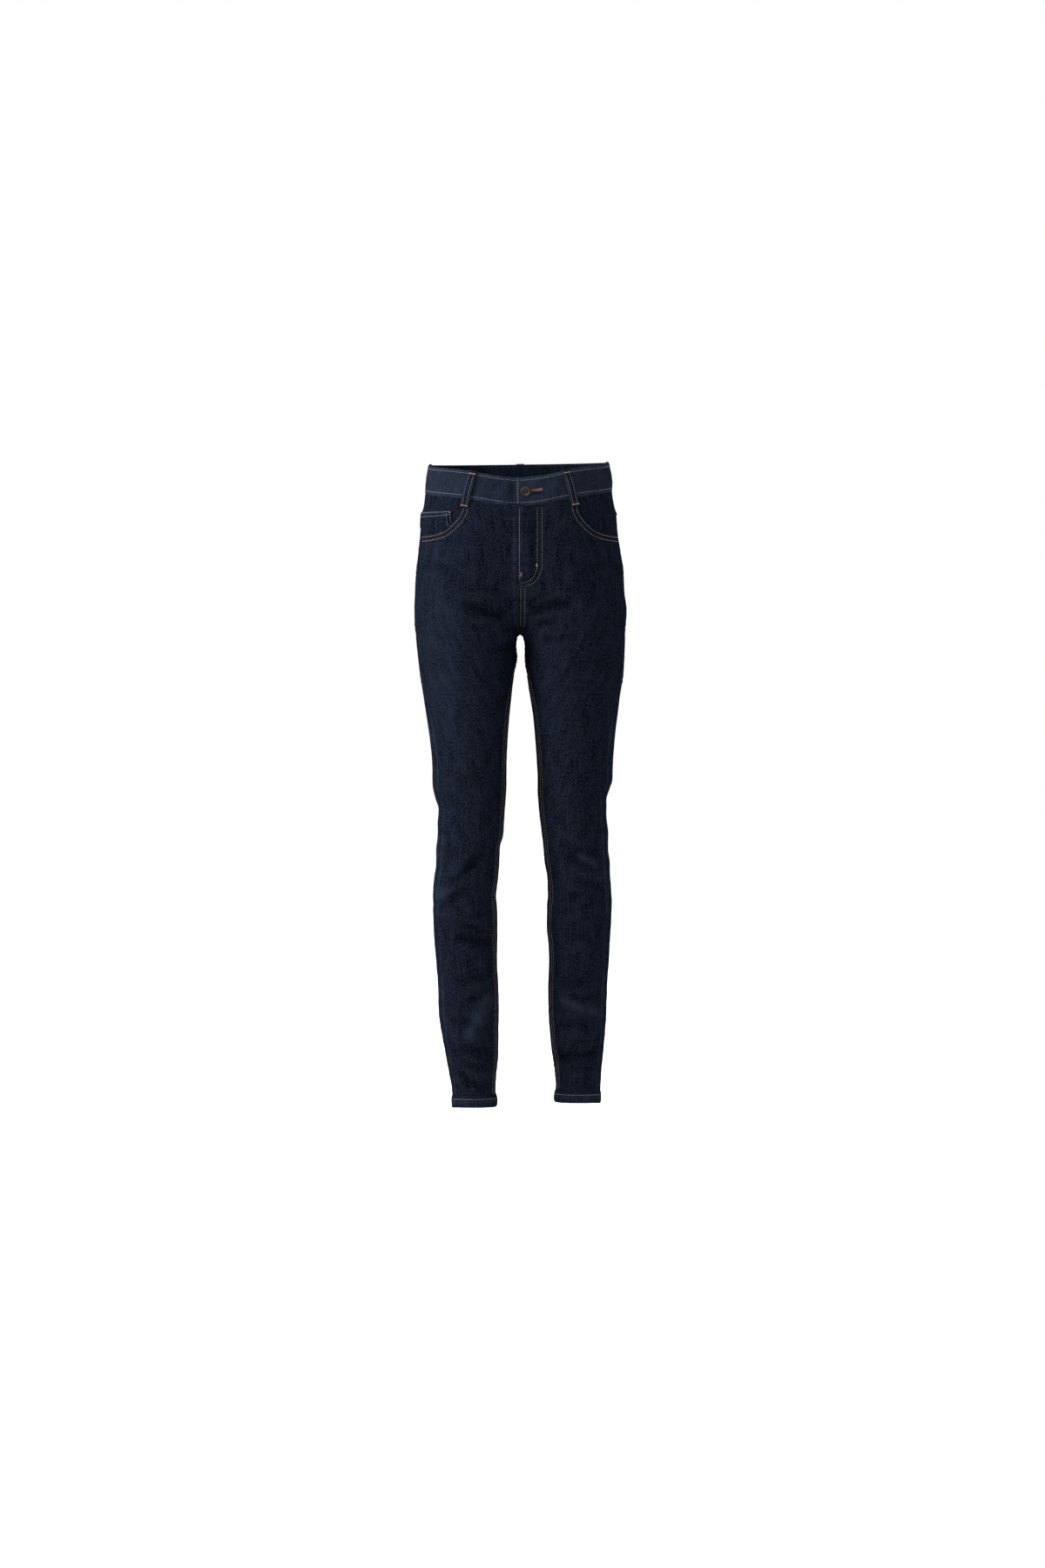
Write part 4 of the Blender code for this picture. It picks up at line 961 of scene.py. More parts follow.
class Materials:
    """The finishes of the jeans."""

    # Thick places in the warp yarns, 1.8 mm wide and 45 mm long
    SLUBS = Grain(1 / 0.0018, 1 / 0.045, 3.0)
    # The weft shows between warp yarns as dots of 0.4 mm. They are too fine to show, so they are
    # drawn about 1.8 mm wide and 3.3 mm long
    FLECKS = Grain(560, 300, 2.0)
    # Uneven dye, in patches about 17 mm wide and 29 mm long
    CLOUDS = Grain(60, 34, 6.0, 0.68)
    # Twill lines stand under 1 mm apart, which is too fine to show, so these are about 4 mm apart
    TWILL = (1 / 0.0017, 1 / 0.0025, 1)
    TWILL_SCALE = 0.225

    def __init__(self) -> None:
        """Make every finish."""
        face = DenimLook("indigo stretch denim twill", "#010102", "#10141d", "#222834")
        back = DenimLook("denim twill reverse", "#1c2028", "#333945", "#434a57")
        self.denim, self.reverse = self._denim(face), self._denim(back)
        # Core-spun polyester thread is a soft twisted yarn, so it is matt and uneven along its length
        names = {thread: f"core-spun thread {thread.name.lower()}" for thread in Thread}
        self.threads = {
            thread: self._grained(Finish(name, *thread.value, 180, 1, 0.6)) for thread, name in names.items()
        }
        # Polyester tape is woven close and dyed in the piece, which leaves a dull dark rib
        self.tape = self._grained(Finish("woven polyester tape", "#0f1116", "#191c24", 1600, 1, 0.9))
        # Brass teeth are stamped and brushed, so they are bright with a fine grey grain
        self.brass = self._grained(Finish("brushed brass", "#84662f", "#a98647", 700, 2, 0.35, 1.0))
        # The button is pressed steel, plated and tumbled dark, which leaves it cloudy and half gloss
        self.button = self._grained(Finish("antiqued steel", "#14110f", "#39332f", 600, 4, 0.42, 1.0))

    @staticmethod
    def _start(name: str) -> tuple[bpy.types.Material, bpy.types.NodeTree, bpy.types.Node]:
        """A new material with its tree and its Principled node.

        Args:
            name: the real material.

        Returns:
            All three.
        """
        material = bpy.data.materials.new(name)
        material.use_nodes = True
        tree = material.node_tree
        return material, tree, next(n for n in tree.nodes if n.type == "BSDF_PRINCIPLED")

    def _denim(self, look: DenimLook) -> bpy.types.Material:
        """Rope-dyed warp over undyed weft in a 3/1 right-hand twill, rinsed once.

        The dye sits on the outside of the yarns, so thick slubs in the warp show as long paler
        streaks up the leg and the weft as a fine diagonal grain. Abraded seams show as paler lines;
        paler fold ridges and thighs are painted highlight, and darker crease bottoms painted shade.

        Args:
            look: the shades of one side.

        Returns:
            The material.
        """
        material, tree, shader = self._start(look.name)
        weave = add_node(tree, "ShaderNodeUVMap", uv_map="weave").outputs["UV"]
        noises = []
        for grain in (self.SLUBS, self.FLECKS, self.CLOUDS):
            scale = (grain.across, grain.up, 1)
            place = add_node(tree, "ShaderNodeMapping", {"Vector": weave, "Scale": scale}).outputs[0]
            form = {"Vector": place, "Scale": 1.0, "Detail": grain.detail, "Roughness": grain.roughness}
            noises.append(add_node(tree, "ShaderNodeTexNoise", form).outputs["Fac"])
        slubs, flecks, clouds = noises
        place = add_node(tree, "ShaderNodeMapping", {"Vector": weave, "Scale": self.TWILL}).outputs[0]
        form = {"Vector": place, "Scale": self.TWILL_SCALE, "Distortion": 1.2, "Detail": 1.0}
        twill = add_node(tree, "ShaderNodeTexWave", form, bands_direction="DIAGONAL").outputs["Fac"]
        # The mesh attribute read here holds seam and edge abrasion and painted highlight above 0, and painted
        # shade below 0
        wear = add_node(tree, "ShaderNodeAttribute", attribute_name="wear").outputs["Fac"]
        # Slubs and flecks are stretched to full contrast, and the painted shade in the creases goes down to
        # 0.3 of the colour
        spans = ((slubs, 0.42, 0.78, 0.0), (flecks, 0.46, 0.72, 0.0), (wear, -1.0, 0.0, 0.3))
        streaks, dots, crease_shade = (
            add_node(tree, "ShaderNodeMapRange", {0: part, 1: low, 2: high, 3: least, 4: 1.0}).outputs[0]
            for part, low, high, least in spans
        )
        shade = dots
        for part, weight in ((streaks, 0.55), (twill, 0.22), (clouds, 1.1)):
            joined = {0: part, 1: weight, 2: shade}
            shade = add_node(tree, "ShaderNodeMath", joined, operation="MULTIPLY_ADD").outputs[0]
        amount = add_node(tree, "ShaderNodeMapRange", {0: shade, 1: 0.5, 2: 1.35, 3: 0.0, 4: 1.0})
        # The paler worn shade is mixed in where seams and edges are abraded, and as painted highlight on fold
        # ridges and thighs
        rub_and_light = add_node(tree, "ShaderNodeMath", {0: wear, 1: clouds}, operation="MULTIPLY", use_clamp=True)
        colour = linear_colour(look.deep)
        for mixed, other in ((amount, look.pale), (rub_and_light, look.worn)):
            shades = {0: mixed.outputs[0], 6: colour, 7: linear_colour(other)}
            colour = add_node(tree, "ShaderNodeMix", shades, data_type="RGBA").outputs[2]
        # Painted shade: the colour is darkened in the creases and beside the fly
        dyed = add_node(tree, "ShaderNodeHueSaturation", {"Value": crease_shade, "Color": colour})
        yarns = {0: twill, 1: 0.6, 2: flecks}
        height = add_node(tree, "ShaderNodeMath", yarns, operation="MULTIPLY_ADD").outputs[0]
        relief = add_node(tree, "ShaderNodeBump", {"Strength": 0.55, "Distance": 0.0003, "Height": height})
        tree.links.new(dyed.outputs[0], shader.inputs["Base Color"])
        tree.links.new(relief.outputs["Normal"], shader.inputs["Normal"])
        # Loose fibres on the surface leave no gloss
        for name, value in (("Roughness", 0.86), ("Specular IOR Level", 0.0), ("IOR", 1.02)):
            shader.inputs[name].default_value = value
        return material

    def _grained(self, finish: Finish) -> bpy.types.Material:
        """A material whose two shades are mixed by fine noise.

        Args:
            finish: its shades, grains and gloss.

        Returns:
            The material.
        """
        material, tree, shader = self._start(finish.name)
        place = add_node(tree, "ShaderNodeTexCoord").outputs["Object"]
        grain = {"Vector": place, "Scale": float(finish.grains), "Detail": float(finish.detail)}
        noise = add_node(tree, "ShaderNodeTexNoise", grain)
        shades = {0: noise.outputs["Fac"], 6: linear_colour(finish.dark), 7: linear_colour(finish.pale)}
        colour = add_node(tree, "ShaderNodeMix", shades, data_type="RGBA")
        tree.links.new(colour.outputs[2], shader.inputs["Base Color"])
        shader.inputs["Roughness"].default_value = finish.roughness
        shader.inputs["Metallic"].default_value = finish.metallic
        return material


@dataclass(frozen=True)
class Cut:
    """A piece's flat pattern: width and length in metres, its area and how the cloth is held."""

    width: float
    length: float
    area: float | None
    held: Held


# Flat patterns of the cloth that shows
CUTS = {
    "front_left": Cut(0.267, 0.926, 0.145, Held.HUNG),
    "front_right": Cut(0.268, 0.924, 0.144, Held.HUNG),
    "back_left": Cut(0.289, 0.905, 0.213, Held.HUNG),
    "back_right": Cut(0.286, 0.901, 0.213, Held.HUNG),
    "yoke_left": Cut(0.220, 0.064, 0.0110, Held.HUNG),
    "yoke_right": Cut(0.224, 0.063, 0.0112, Held.HUNG),
    "waistband": Cut(0.877, 0.0425, None, Held.HUNG),
    "pocket_facing_left": Cut(0.166, 0.078, 0.0087, Held.LAID),
    "pocket_facing_right": Cut(0.168, 0.074, 0.0085, Held.LAID),
    "coin_pocket": Cut(0.115, 0.043, 0.0046, Held.LAID),
    "back_pocket_left": Cut(0.103, 0.125, 0.0121, Held.LAID),
    "back_pocket_right": Cut(0.104, 0.123, 0.0120, Held.LAID),
    "zip": Cut(0.025, 0.117, None, Held.LAID),
    "fly_shield": Cut(0.041, 0.124, None, Held.LAID),
}
CUTS |= {loop.name: Cut(0.013, 0.061, None, Held.LAID) for loop in LOOPS}
CUTS |= {f"hem_{side}": Cut(0.284, 0.0185, None, Held.HUNG) for side in SIDES}


def perimeter(rows: int, columns: int) -> Array:
    """Rows and columns of the spots round a grid, in order.

    Args:
        rows: spots down the grid.
        columns: spots across it.

    Returns:
        Pairs of row and column.
    """
    top = [(0, j) for j in range(columns)]
    last = [(i, columns - 1) for i in range(1, rows)]
    bottom = [(rows - 1, j) for j in range(columns - 2, -1, -1)]
    first = [(i, 0) for i in range(rows - 2, 0, -1)]
    return np.array(top + last + bottom + first)


class Shell:
    """A closed wall of cloth between two grids of points, with a rounded rim."""

    RIM_PULL = 0.2
    RIM_BULGE = 0.25

    def __init__(
        self, outer: Array, inner: Array, wear: Array | None = None, ring: bool = False
    ) -> None:
        """Keep copies of both faces.

        Args:
            outer: points of the outer face, in rows and columns.
            inner: points of the inner face.
            wear: how abraded the outer face is, and on the leg panels also painted highlight above 0 and
                painted shade below 0.
            ring: whether the last column joins the first.
        """
        self.outer, self.inner, self.ring = outer.copy(), inner.copy(), ring
        self.wear = np.zeros(outer.shape[:2]) if wear is None else wear
        self.rows, self.columns = outer.shape[:2]

    def _weave_uv(self) -> Array:
        """Lengths along the cloth, in metres, with one more column where the grid is a ring.

        Returns:
            A pair for each spot of the grid.
        """
        grid = np.concatenate((self.outer, self.outer[:, :1]), axis=1) if self.ring else self.outer
        across = np.linalg.norm(np.diff(grid, axis=1), axis=-1)
        u = np.concatenate((np.zeros((self.rows, 1)), np.cumsum(across, axis=1)), axis=1)
        v = grid[..., 2]
        return np.stack((u, v), axis=-1) * MM

    def _loops(self) -> list[tuple[Array, Array]]:
        """The rims, each as the spots on it and the spots just inside them.

        Returns:
            One rim, or two where the grid is a ring.
        """
        if self.ring:
            j = np.arange(self.columns)
            loops = []
            for edge, inside in ((0, 1), (self.rows - 1, self.rows - 2)):
                loops.append((np.stack((j * 0 + edge, j), 1), np.stack((j * 0 + inside, j), 1)))
            return loops
        loop = perimeter(self.rows, self.columns)
        inside = np.clip(loop, 1, (self.rows - 2, self.columns - 2))
        return [(loop, inside)]

    def build(self, name: str, face: bpy.types.Material, reverse: bpy.types.Material) -> Thing:
        """Make the object.

        Args:
            name: the object's name.
            face: the material of the outer side and the rim.
            reverse: the material of the inner side.

        Returns:
            The new object, in the scene.
        """
        uv = self._weave_uv()
        count = self.rows * self.columns
        middles, rims = [], []
        for loop, inside in self._loops():
            i, j = loop.T
            away = unit(self.outer[i, j] - self.outer[inside[:, 0], inside[:, 1]])
            wall = self.inner[i, j] - self.outer[i, j]
            thick = np.linalg.norm(wall, axis=-1, keepdims=True)
            middle = 0.5 * (self.outer[i, j] + self.inner[i, j]) + away * thick * self.RIM_BULGE
            rims.append((loop, 2 * count + sum(len(m) for m in middles)))
            middles.append(middle)
            self.outer[i, j] += wall * self.RIM_PULL
            self.inner[i, j] -= wall * self.RIM_PULL
        points = np.concatenate([self.outer.reshape(-1, 3), self.inner.reshape(-1, 3), *middles]) * MM
        wide = self.columns if self.ring else self.columns - 1
        i, j = (a.ravel() for a in np.meshgrid(np.arange(self.rows - 1), np.arange(wide), indexing="ij"))
        corners = [(i, j), (i + 1, j), (i + 1, j + 1), (i, j + 1)]
        index = [a * self.columns + b % self.columns for a, b in corners]
        outer_faces = np.stack(index, axis=1)
        inner_faces = np.stack([index[k] + count for k in (0, 3, 2, 1)], axis=1)
        outer_uv = np.stack([uv[a, b] for a, b in corners], axis=1)
        inner_uv = np.stack([uv[corners[k]] for k in (0, 3, 2, 1)], axis=1)
        faces, uvs = [outer_faces, inner_faces], [outer_uv, inner_uv]
        for loop, start in rims:
            size = len(loop)
            k = np.arange(size)
            after = (k + 1) % size
            one = loop[:, 0] * self.columns + loop[:, 1]
            mid = start + k
            edge_uv = uv[loop[:, 0], loop[:, 1]]
            for a, b in ((one, mid), (mid, one + count)):
                faces.append(np.stack((a[k], a[after], b[after], b[k]), axis=1))
                uvs.append(np.stack((edge_uv[k], edge_uv[after], edge_uv[after], edge_uv[k]), axis=1))
        mesh = bpy.data.meshes.new(name)
        all_faces = np.concatenate(faces)
        mesh.from_pydata(points.tolist(), [], all_faces.tolist())
        layer = mesh.uv_layers.new(name="weave")
        layer.data.foreach_set("uv", np.concatenate(uvs).astype(np.float32).ravel())
        rim_wear = [self.wear[loop[:, 0], loop[:, 1]] for loop, _ in rims]
        wear = np.concatenate([self.wear.ravel(), self.wear.ravel() * 0, *rim_wear])
        mesh.attributes.new("wear", "FLOAT", "POINT").data.foreach_set("value", wear.astype(np.float32))
        materials = np.zeros(len(all_faces), np.int32)
        materials[len(outer_faces) : 2 * len(outer_faces)] = 1
        mesh.materials.append(face)
        mesh.materials.append(reverse)
        mesh.polygons.foreach_set("material_index", materials)
        mesh.polygons.foreach_set("use_smooth", np.ones(len(all_faces), bool))
        repair_normals(mesh)
        return place_object(name, mesh)


def repair_normals(mesh: bpy.types.Mesh) -> None:
    """Make the faces of a closed mesh point out.

    Args:
        mesh: its mesh.
    """
    work = bmesh.new()
    work.from_mesh(mesh)
    bmesh.ops.recalc_face_normals(work, faces=work.faces)
    work.to_mesh(mesh)
    work.free()


def place_object(name: str, mesh: bpy.types.Mesh) -> Thing:
    """Put a mesh into the scene under a name, riding on the garment's one body.

    Args:
        name: its name.
        mesh: its mesh.

    Returns:
        The object.
    """
    thing = bpy.data.objects.new(name, mesh)
    bpy.context.scene.collection.objects.link(thing)
    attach(thing, "root")
    return thing


def dress(thing: Thing, node: str) -> Thing:
    """Hide the solid that a piece stands for.

    Args:
        thing: the piece.
        node: the solid that it stands for.

    Returns:
        The same piece.
    """
    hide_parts(node)
    return thing


class Seamstress:
    """Lays stitches along lines on the cloth and joins them into a few meshes."""

    SIDES_ROUND = 6
    LENGTH = 3.1
    GAP = 0.9
    RADIUS = 0.31
    SEED = 12
    TACK_PITCH = 0.55
    # A stitch's share of its length, share of its thickness, and rise in radii
    PROFILE = [(0.0, 0.35, -0.75), (0.12, 0.9, -0.1), (0.5, 1.0, 0.35), (0.88, 0.9, -0.1), (1.0, 0.35, -0.75)]

    def __init__(self) -> None:
        """Start with no stitches."""
        self.threads: dict[Thread, list[tuple[Array, Array]]] = {thread: [] for thread in Thread}
        self.count = 0
        self.rng = np.random.default_rng(self.SEED)

    def _capsule(self, start: Array, end: Array, normal: Array, radius: float) -> tuple[Array, Array]:
        """One stitch: a thread that comes up out of the cloth and goes down into it again.

        Args:
            start: where it comes up.
            end: where it goes down.
            normal: the way out of the cloth.
            radius: half its thickness.

        Returns:
            Its points and faces.
        """
        along = end - start
        size = np.linalg.norm(along)
        along = along / max(size, 1e-9)
        side = unit(np.cross(normal, along))
        lift = unit(np.cross(along, side))
        turns = np.arange(self.SIDES_ROUND) * 2 * math.pi / self.SIDES_ROUND
        rings = []
        for share, thick, height in self.PROFILE:
            centre = start + along * size * share + lift * radius * height
            circle = np.cos(turns)[:, None] * side + np.sin(turns)[:, None] * lift * 0.8
            rings.append(centre + circle * radius * thick)
        points = np.concatenate(rings)
        n = self.SIDES_ROUND
        faces = [
            (r * n + k, r * n + (k + 1) % n, (r + 1) * n + (k + 1) % n, (r + 1) * n + k)
            for r in range(len(self.PROFILE) - 1)
            for k in range(n)
        ]
        return points, np.array(faces)

    def stitch(self, start: Array, end: Array, normal: Array, thread: Thread, radius: float = RADIUS) -> None:
        """Lay one stitch between two points."""
        self.threads[thread].append(self._capsule(start, end, normal, radius))
        self.count += 1

    def line(self, spots: Spots, thread: Thread, radius: float = RADIUS, length: float = LENGTH) -> None:
        """Sew a line of stitches along spots in order.

        Args:
            spots: places along the line, already on the cloth.
            thread: the thread's colour.
            radius: half the thread's thickness.
            length: a stitch's length in millimetres.
        """
        run = run_of(spots.points)
        at = self.rng.uniform(0.2, 0.8)
        while at + length < run[-1]:
            size = length * self.rng.uniform(0.9, 1.08)
            ends = np.array([at, at + size, at + size / 2])
            place = np.stack([np.interp(ends, run, spots.points[:, k]) for k in range(3)], axis=1)
            way = unit(np.array([np.interp(ends[2], run, spots.normals[:, k]) for k in range(3)]))
            sway = unit(np.cross(way, place[1] - place[0])) * self.rng.uniform(-0.12, 0.12, (2, 1))
            lifted = place[:2] + way * radius * 0.35 + sway
            self.stitch(lifted[0], lifted[1], way, thread, radius)
            at += size + self.GAP * self.rng.uniform(0.8, 1.25)

    def bar(self, start: Array, end: Array, normal: Array, thread: Thread, width: float = 2.2) -> None:
        """A bar tack: close stitches laid across a short line.

        Args:
            start: where it comes up.
            end: where it goes down.
            normal: the way out of the cloth.
            thread: the thread's colour.
            width: how wide it is.
        """
        along = end - start
        size = np.linalg.norm(along)
        side = unit(np.cross(normal, along)) * width / 2
        for k in range(int(size / self.TACK_PITCH)):
            middle = start + along * (k + 0.5) * self.TACK_PITCH / size + unit(normal) * 0.35
            tilt = unit(along) * (0.25 if k % 2 else -0.25)
            self.stitch(middle - side - tilt, middle + side + tilt, normal, thread, 0.34)

    def finish(self, materials: Materials) -> list[Thing]:
        """Join each thread's stitches into one object.

        Args:
            materials: the finishes.

        Returns:
            One object for each thread.
        """
        made = []
        for thread, parts in self.threads.items():
            offsets = np.cumsum([0] + [len(points) for points, _ in parts[:-1]])
            points = np.concatenate([points for points, _ in parts]) * MM
            faces = np.concatenate([faces + offset for (_, faces), offset in zip(parts, offsets)])
            name = f"stitches_{thread.name.lower()}"
            mesh = bpy.data.meshes.new(name)
            mesh.from_pydata(points.tolist(), [], faces.tolist())
            mesh.materials.append(materials.threads[thread])
            mesh.polygons.foreach_set("use_smooth", np.ones(len(faces), bool))
            thing = place_object(name, mesh)
            made.append(thing)
        return made


@dataclass
class Part:
    """A sub-assembly: the skin that it lies on and the finishes."""

    skin: Skin
    materials: Materials

    def cloth(self, shell: Shell, node: str, *rests_on: str) -> Thing:
        """Build a piece of denim in a solid's place.

        Args:
            shell: the piece's wall.
            node: the solid that it stands for.
            rests_on: the nodes that carry it; not used.

        Returns:
            The piece, named for the solid.
        """
        thing = shell.build(f"{node}_cloth", self.materials.denim, self.materials.reverse)
        return dress(thing, node)


@dataclass
class LegPanels(Part):
    """The four panels of the legs, each one length of cloth from the waist to the hem."""

    row_step: float = 3.8
    mouth_columns: int = 24
    rest_columns: int = 30
    lap_width: float = 3.0
    lap_out: float = 1.5
    inseam_lines: tuple[float, float] = (6.0, 12.0)
    felled_lines: tuple[float, float] = (8.5, 14.5)
    rise_lines: tuple[float, float] = (0.8, 7.2)
    seat_lines: tuple[float, float] = (2.0, 8.2)

    def place(self, side: Side, face: Face) -> tuple[Array, Array, Array]:
        """Shares, heights, and abrasion with painted light, of a panel's grid, from its upper edge to the hem
        seam.

        Args:
            side: left or right.
            face: front or back.

        Returns:
            Three grids.
        """
        number = self.mouth_columns + self.rest_columns
        even = np.linspace(0, 1, number + 1)
        tops = even.copy()
        start = WAIST_SEAM_Z
        if face == FRONT:
            corner = float(self.skin.share_at_x(side, face, POCKET_CORNER_X, POCKET_MOUTH[0].z))
            column = np.linspace(0, CORNER_COLUMN, self.mouth_columns + 1)
            shares = np.interp(column, range(CORNER_COLUMN + 1), TOP_COLUMN_SHARES)
            tops[: self.mouth_columns + 1] = corner * shares
            rest = np.linspace(corner, 1, self.rest_columns + 1)
            tops[self.mouth_columns :] = rest
            top_z = self.skin.waist_z(side, face, tops)
            top_z[: self.mouth_columns] = self.skin.mouth_z(side, tops[: self.mouth_columns])
        else:
            start -= YOKE_SIDE
            top_z = self.skin.top_z(side, face, tops)
        end = HEM_Z + HEM_HEIGHT
        heights = np.linspace(start, end, int((start - end) / self.row_step))
        upper = np.clip((start - heights) / (start - EVEN_ROWS_FROM_Z), 0, 1)[:, None]
        z = np.where(upper < 1, top_z + (EVEN_ROWS_FROM_Z - top_z) * upper, heights[:, None])
        s = tops + (even - tops) * eased(z, EVEN_COLUMNS_FROM_Z, EVEN_COLUMNS_TO_Z)
        z = z - self.skin.hem_drop(face, s) * eased(z, HEM_DROP_FROM_Z, HEM_Z)
        return s, z, self.wear(side, face, s, z)

    def wear(self, side: Side, face: Face, s: Array, z: Array) -> Array:
        """Paler where seams are abraded, with painted highlight on fold ridges and thighs, and painted shade,
        below 0, in the creases and beside the fly.

        Args:
            side: left or right.
            face: front or back.
            s: shares across.
            z: heights.

        Returns:
            From -1 to 1.
        """
        outer, inner = self.skin.length(side, face, s, z)
        broken = 0.75 + 0.5 * soft_noise(z / 14.0, outer / 60.0, 31)
        seam = 0.55 * bump(outer, 8.6, 1.7) + 0.4 * bump(outer, 2.6, 1.2)
        seam = seam + 0.5 * bump(inner, 9.0, 1.6) + 0.35 * bump(inner, 3.6, 1.5)
        # Painted highlight: the thighs are paler where the light falls on them
        thigh_highlight = np.zeros(s.shape)
        if face == BACK or side == RIGHT:
            thigh_highlight = 0.16 * bump(z, -300.0, 170.0) * bump(s, 0.34, 0.16)
        points = self.skin.plain(side, face, s, z)[0]
        drawn_in = self.skin.creases(side, points)
        # Painted highlight on the ridges of the folds and painted shade in their troughs
        rub_and_light = 0.12 * np.clip(-drawn_in, 0, 4) - 0.14 * np.clip(drawn_in, 0, 4)
        # Painted shadow in the hollow beside the fly's lap
        if (side, face) == (LEFT, FRONT):
            rub_and_light = rub_and_light - 0.5 * bump(points[..., 0], 19.0, 6.0) * eased(z, -158.0, -146.0)
        return np.clip(seam * broken + thigh_highlight + rub_and_light, -1, 1)

    def on_fly(self, x: Array, z: Array, out: float = 0.0) -> Spots:
        """Spots on the left front near the fly, on top of its lap."""
        s = self.skin.share_at_x(LEFT, FRONT, x, z)
        return self.skin.spots(LEFT, FRONT, s, z, self.lap(s, z) + out)

    def lap(self, s: Array, z: Array) -> Array:
        """How far the left front's edge stands out where it laps over the right one."""
        return eased(s, 0.94, 0.99) * eased(z, *LAP_START) * self.lap_out

    def build(self) -> list[Thing]:
        """Build the four panels.

        Returns:
            The panels.
        """
        made = []
        for side in SIDES:
            for face in Face:
                s, z, wear = self.place(side, face)
                spots = self.skin.spots(side, face, s, z)
                out = self.lap(s, z) if (side, face) == (LEFT, FRONT) else np.zeros(s.shape)
                if (side, face) == (RIGHT, FRONT):
                    out = -0.25 * eased(s, 0.93, 0.98) * eased(z, *LAP_START)
                outer, inner = spots.moved(out), spots.moved(out - PANEL_THICK)
                if (side, face) == (LEFT, FRONT):
                    reach = -self.lap_width * eased(z, *LAP_START) * eased(s, 0.97, 1.0)
                    outer[..., 0] += reach
                    inner[..., 0] += reach
                name = f"{face}_{side}"
                shell = Shell(outer, inner, wear)
                made.append(self.cloth(shell, name, "waistband"))
        return made

    def sew(self, hand: Seamstress) -> None:
        """Double lines on the inseams, the front rise below the fly and the back's centre seam.

        Args:
            hand: lays the stitches.
        """
        below = np.arange(-262.0, HEM_Z + HEM_HEIGHT + 1, -2.5)
        for side in SIDES:
            for distance in self.felled_lines if side == LEFT else self.inseam_lines:
                s = self.skin.share(side, FRONT, distance, below)
                drop = self.skin.hem_drop(FRONT, s) * eased(below, HEM_DROP_FROM_Z, HEM_Z)
                hand.line(self.skin.spots(side, FRONT, s, below - drop, 0.1), Thread.BROWN)
        for x in self.rise_lines:
            z = np.arange(-166.0, -226.0, -1.5)
            hand.line(self.on_fly(np.full(z.shape, x), z, 0.15), Thread.BROWN)
        for distance in self.seat_lines:
            top = float(self.skin.top_z(LEFT, BACK, np.array(1.0)))
            z = np.arange(top, -234.0, -2.0)
            s = self.skin.share(LEFT, BACK, distance, z)
            hand.line(self.skin.spots(LEFT, BACK, s, z), Thread.TAN)


@dataclass
class Yokes(Part):
    """The two pieces of the back yoke, felled over the panels below."""

    columns: int = 54
    rows: int = 16
    lap: float = 1.2
    raised: float = 0.25
    seam_lines: tuple[float, float] = (1.2, 7.2)
    seat_lines: tuple[float, float] = (2.0, 8.2)

    def build(self) -> list[Thing]:
        """Build both yokes.

        Returns:
            The yokes.
        """
        made = []
        for side in SIDES:
            s = np.linspace(0, 1, self.columns + 1)[None, :]
            high, low = self.skin.waist_z(side, BACK, s), self.skin.top_z(side, BACK, s)
            share = np.linspace(0, 1, self.rows + 1)[:, None]
            z = high + (low - self.lap - high) * share
            s = np.broadcast_to(s, z.shape)
            out = 1.0 * eased(share, 0.72, 0.97) + z * 0
            spots = self.skin.spots(side, BACK, s, z)
            wear = 0.5 * eased(share, 0.9, 1.0) + z * 0
            inner = spots.moved(out - PANEL_THICK + self.raised)
            shell, name = Shell(spots.moved(out + self.raised), inner, wear), f"yoke_{side}"
            made.append(self.cloth(shell, name, "waistband"))
        return made

    def sew(self, hand: Seamstress) -> None:
        """Two lines along each yoke seam, and the centre seam's lines.

        Args:
            hand: lays the stitches.
        """
        for side in SIDES:
            s = np.linspace(0.02, 0.985, 90)
            low = self.skin.top_z(side, BACK, s)
            for up, out in zip(self.seam_lines, (1.25, 1.0)):
                hand.line(self.skin.spots(side, BACK, s, low + up, out), Thread.TAN)
        high = float(self.skin.waist_z(LEFT, BACK, np.array(1.0)))
        low = float(self.skin.top_z(LEFT, BACK, np.array(1.0)))
        for distance in self.seat_lines:
            z = np.arange(high - 2, low + 9, -2.0)
            s = self.skin.share(LEFT, BACK, distance, z)
            hand.line(self.skin.spots(LEFT, BACK, s, z, self.raised), Thread.TAN)


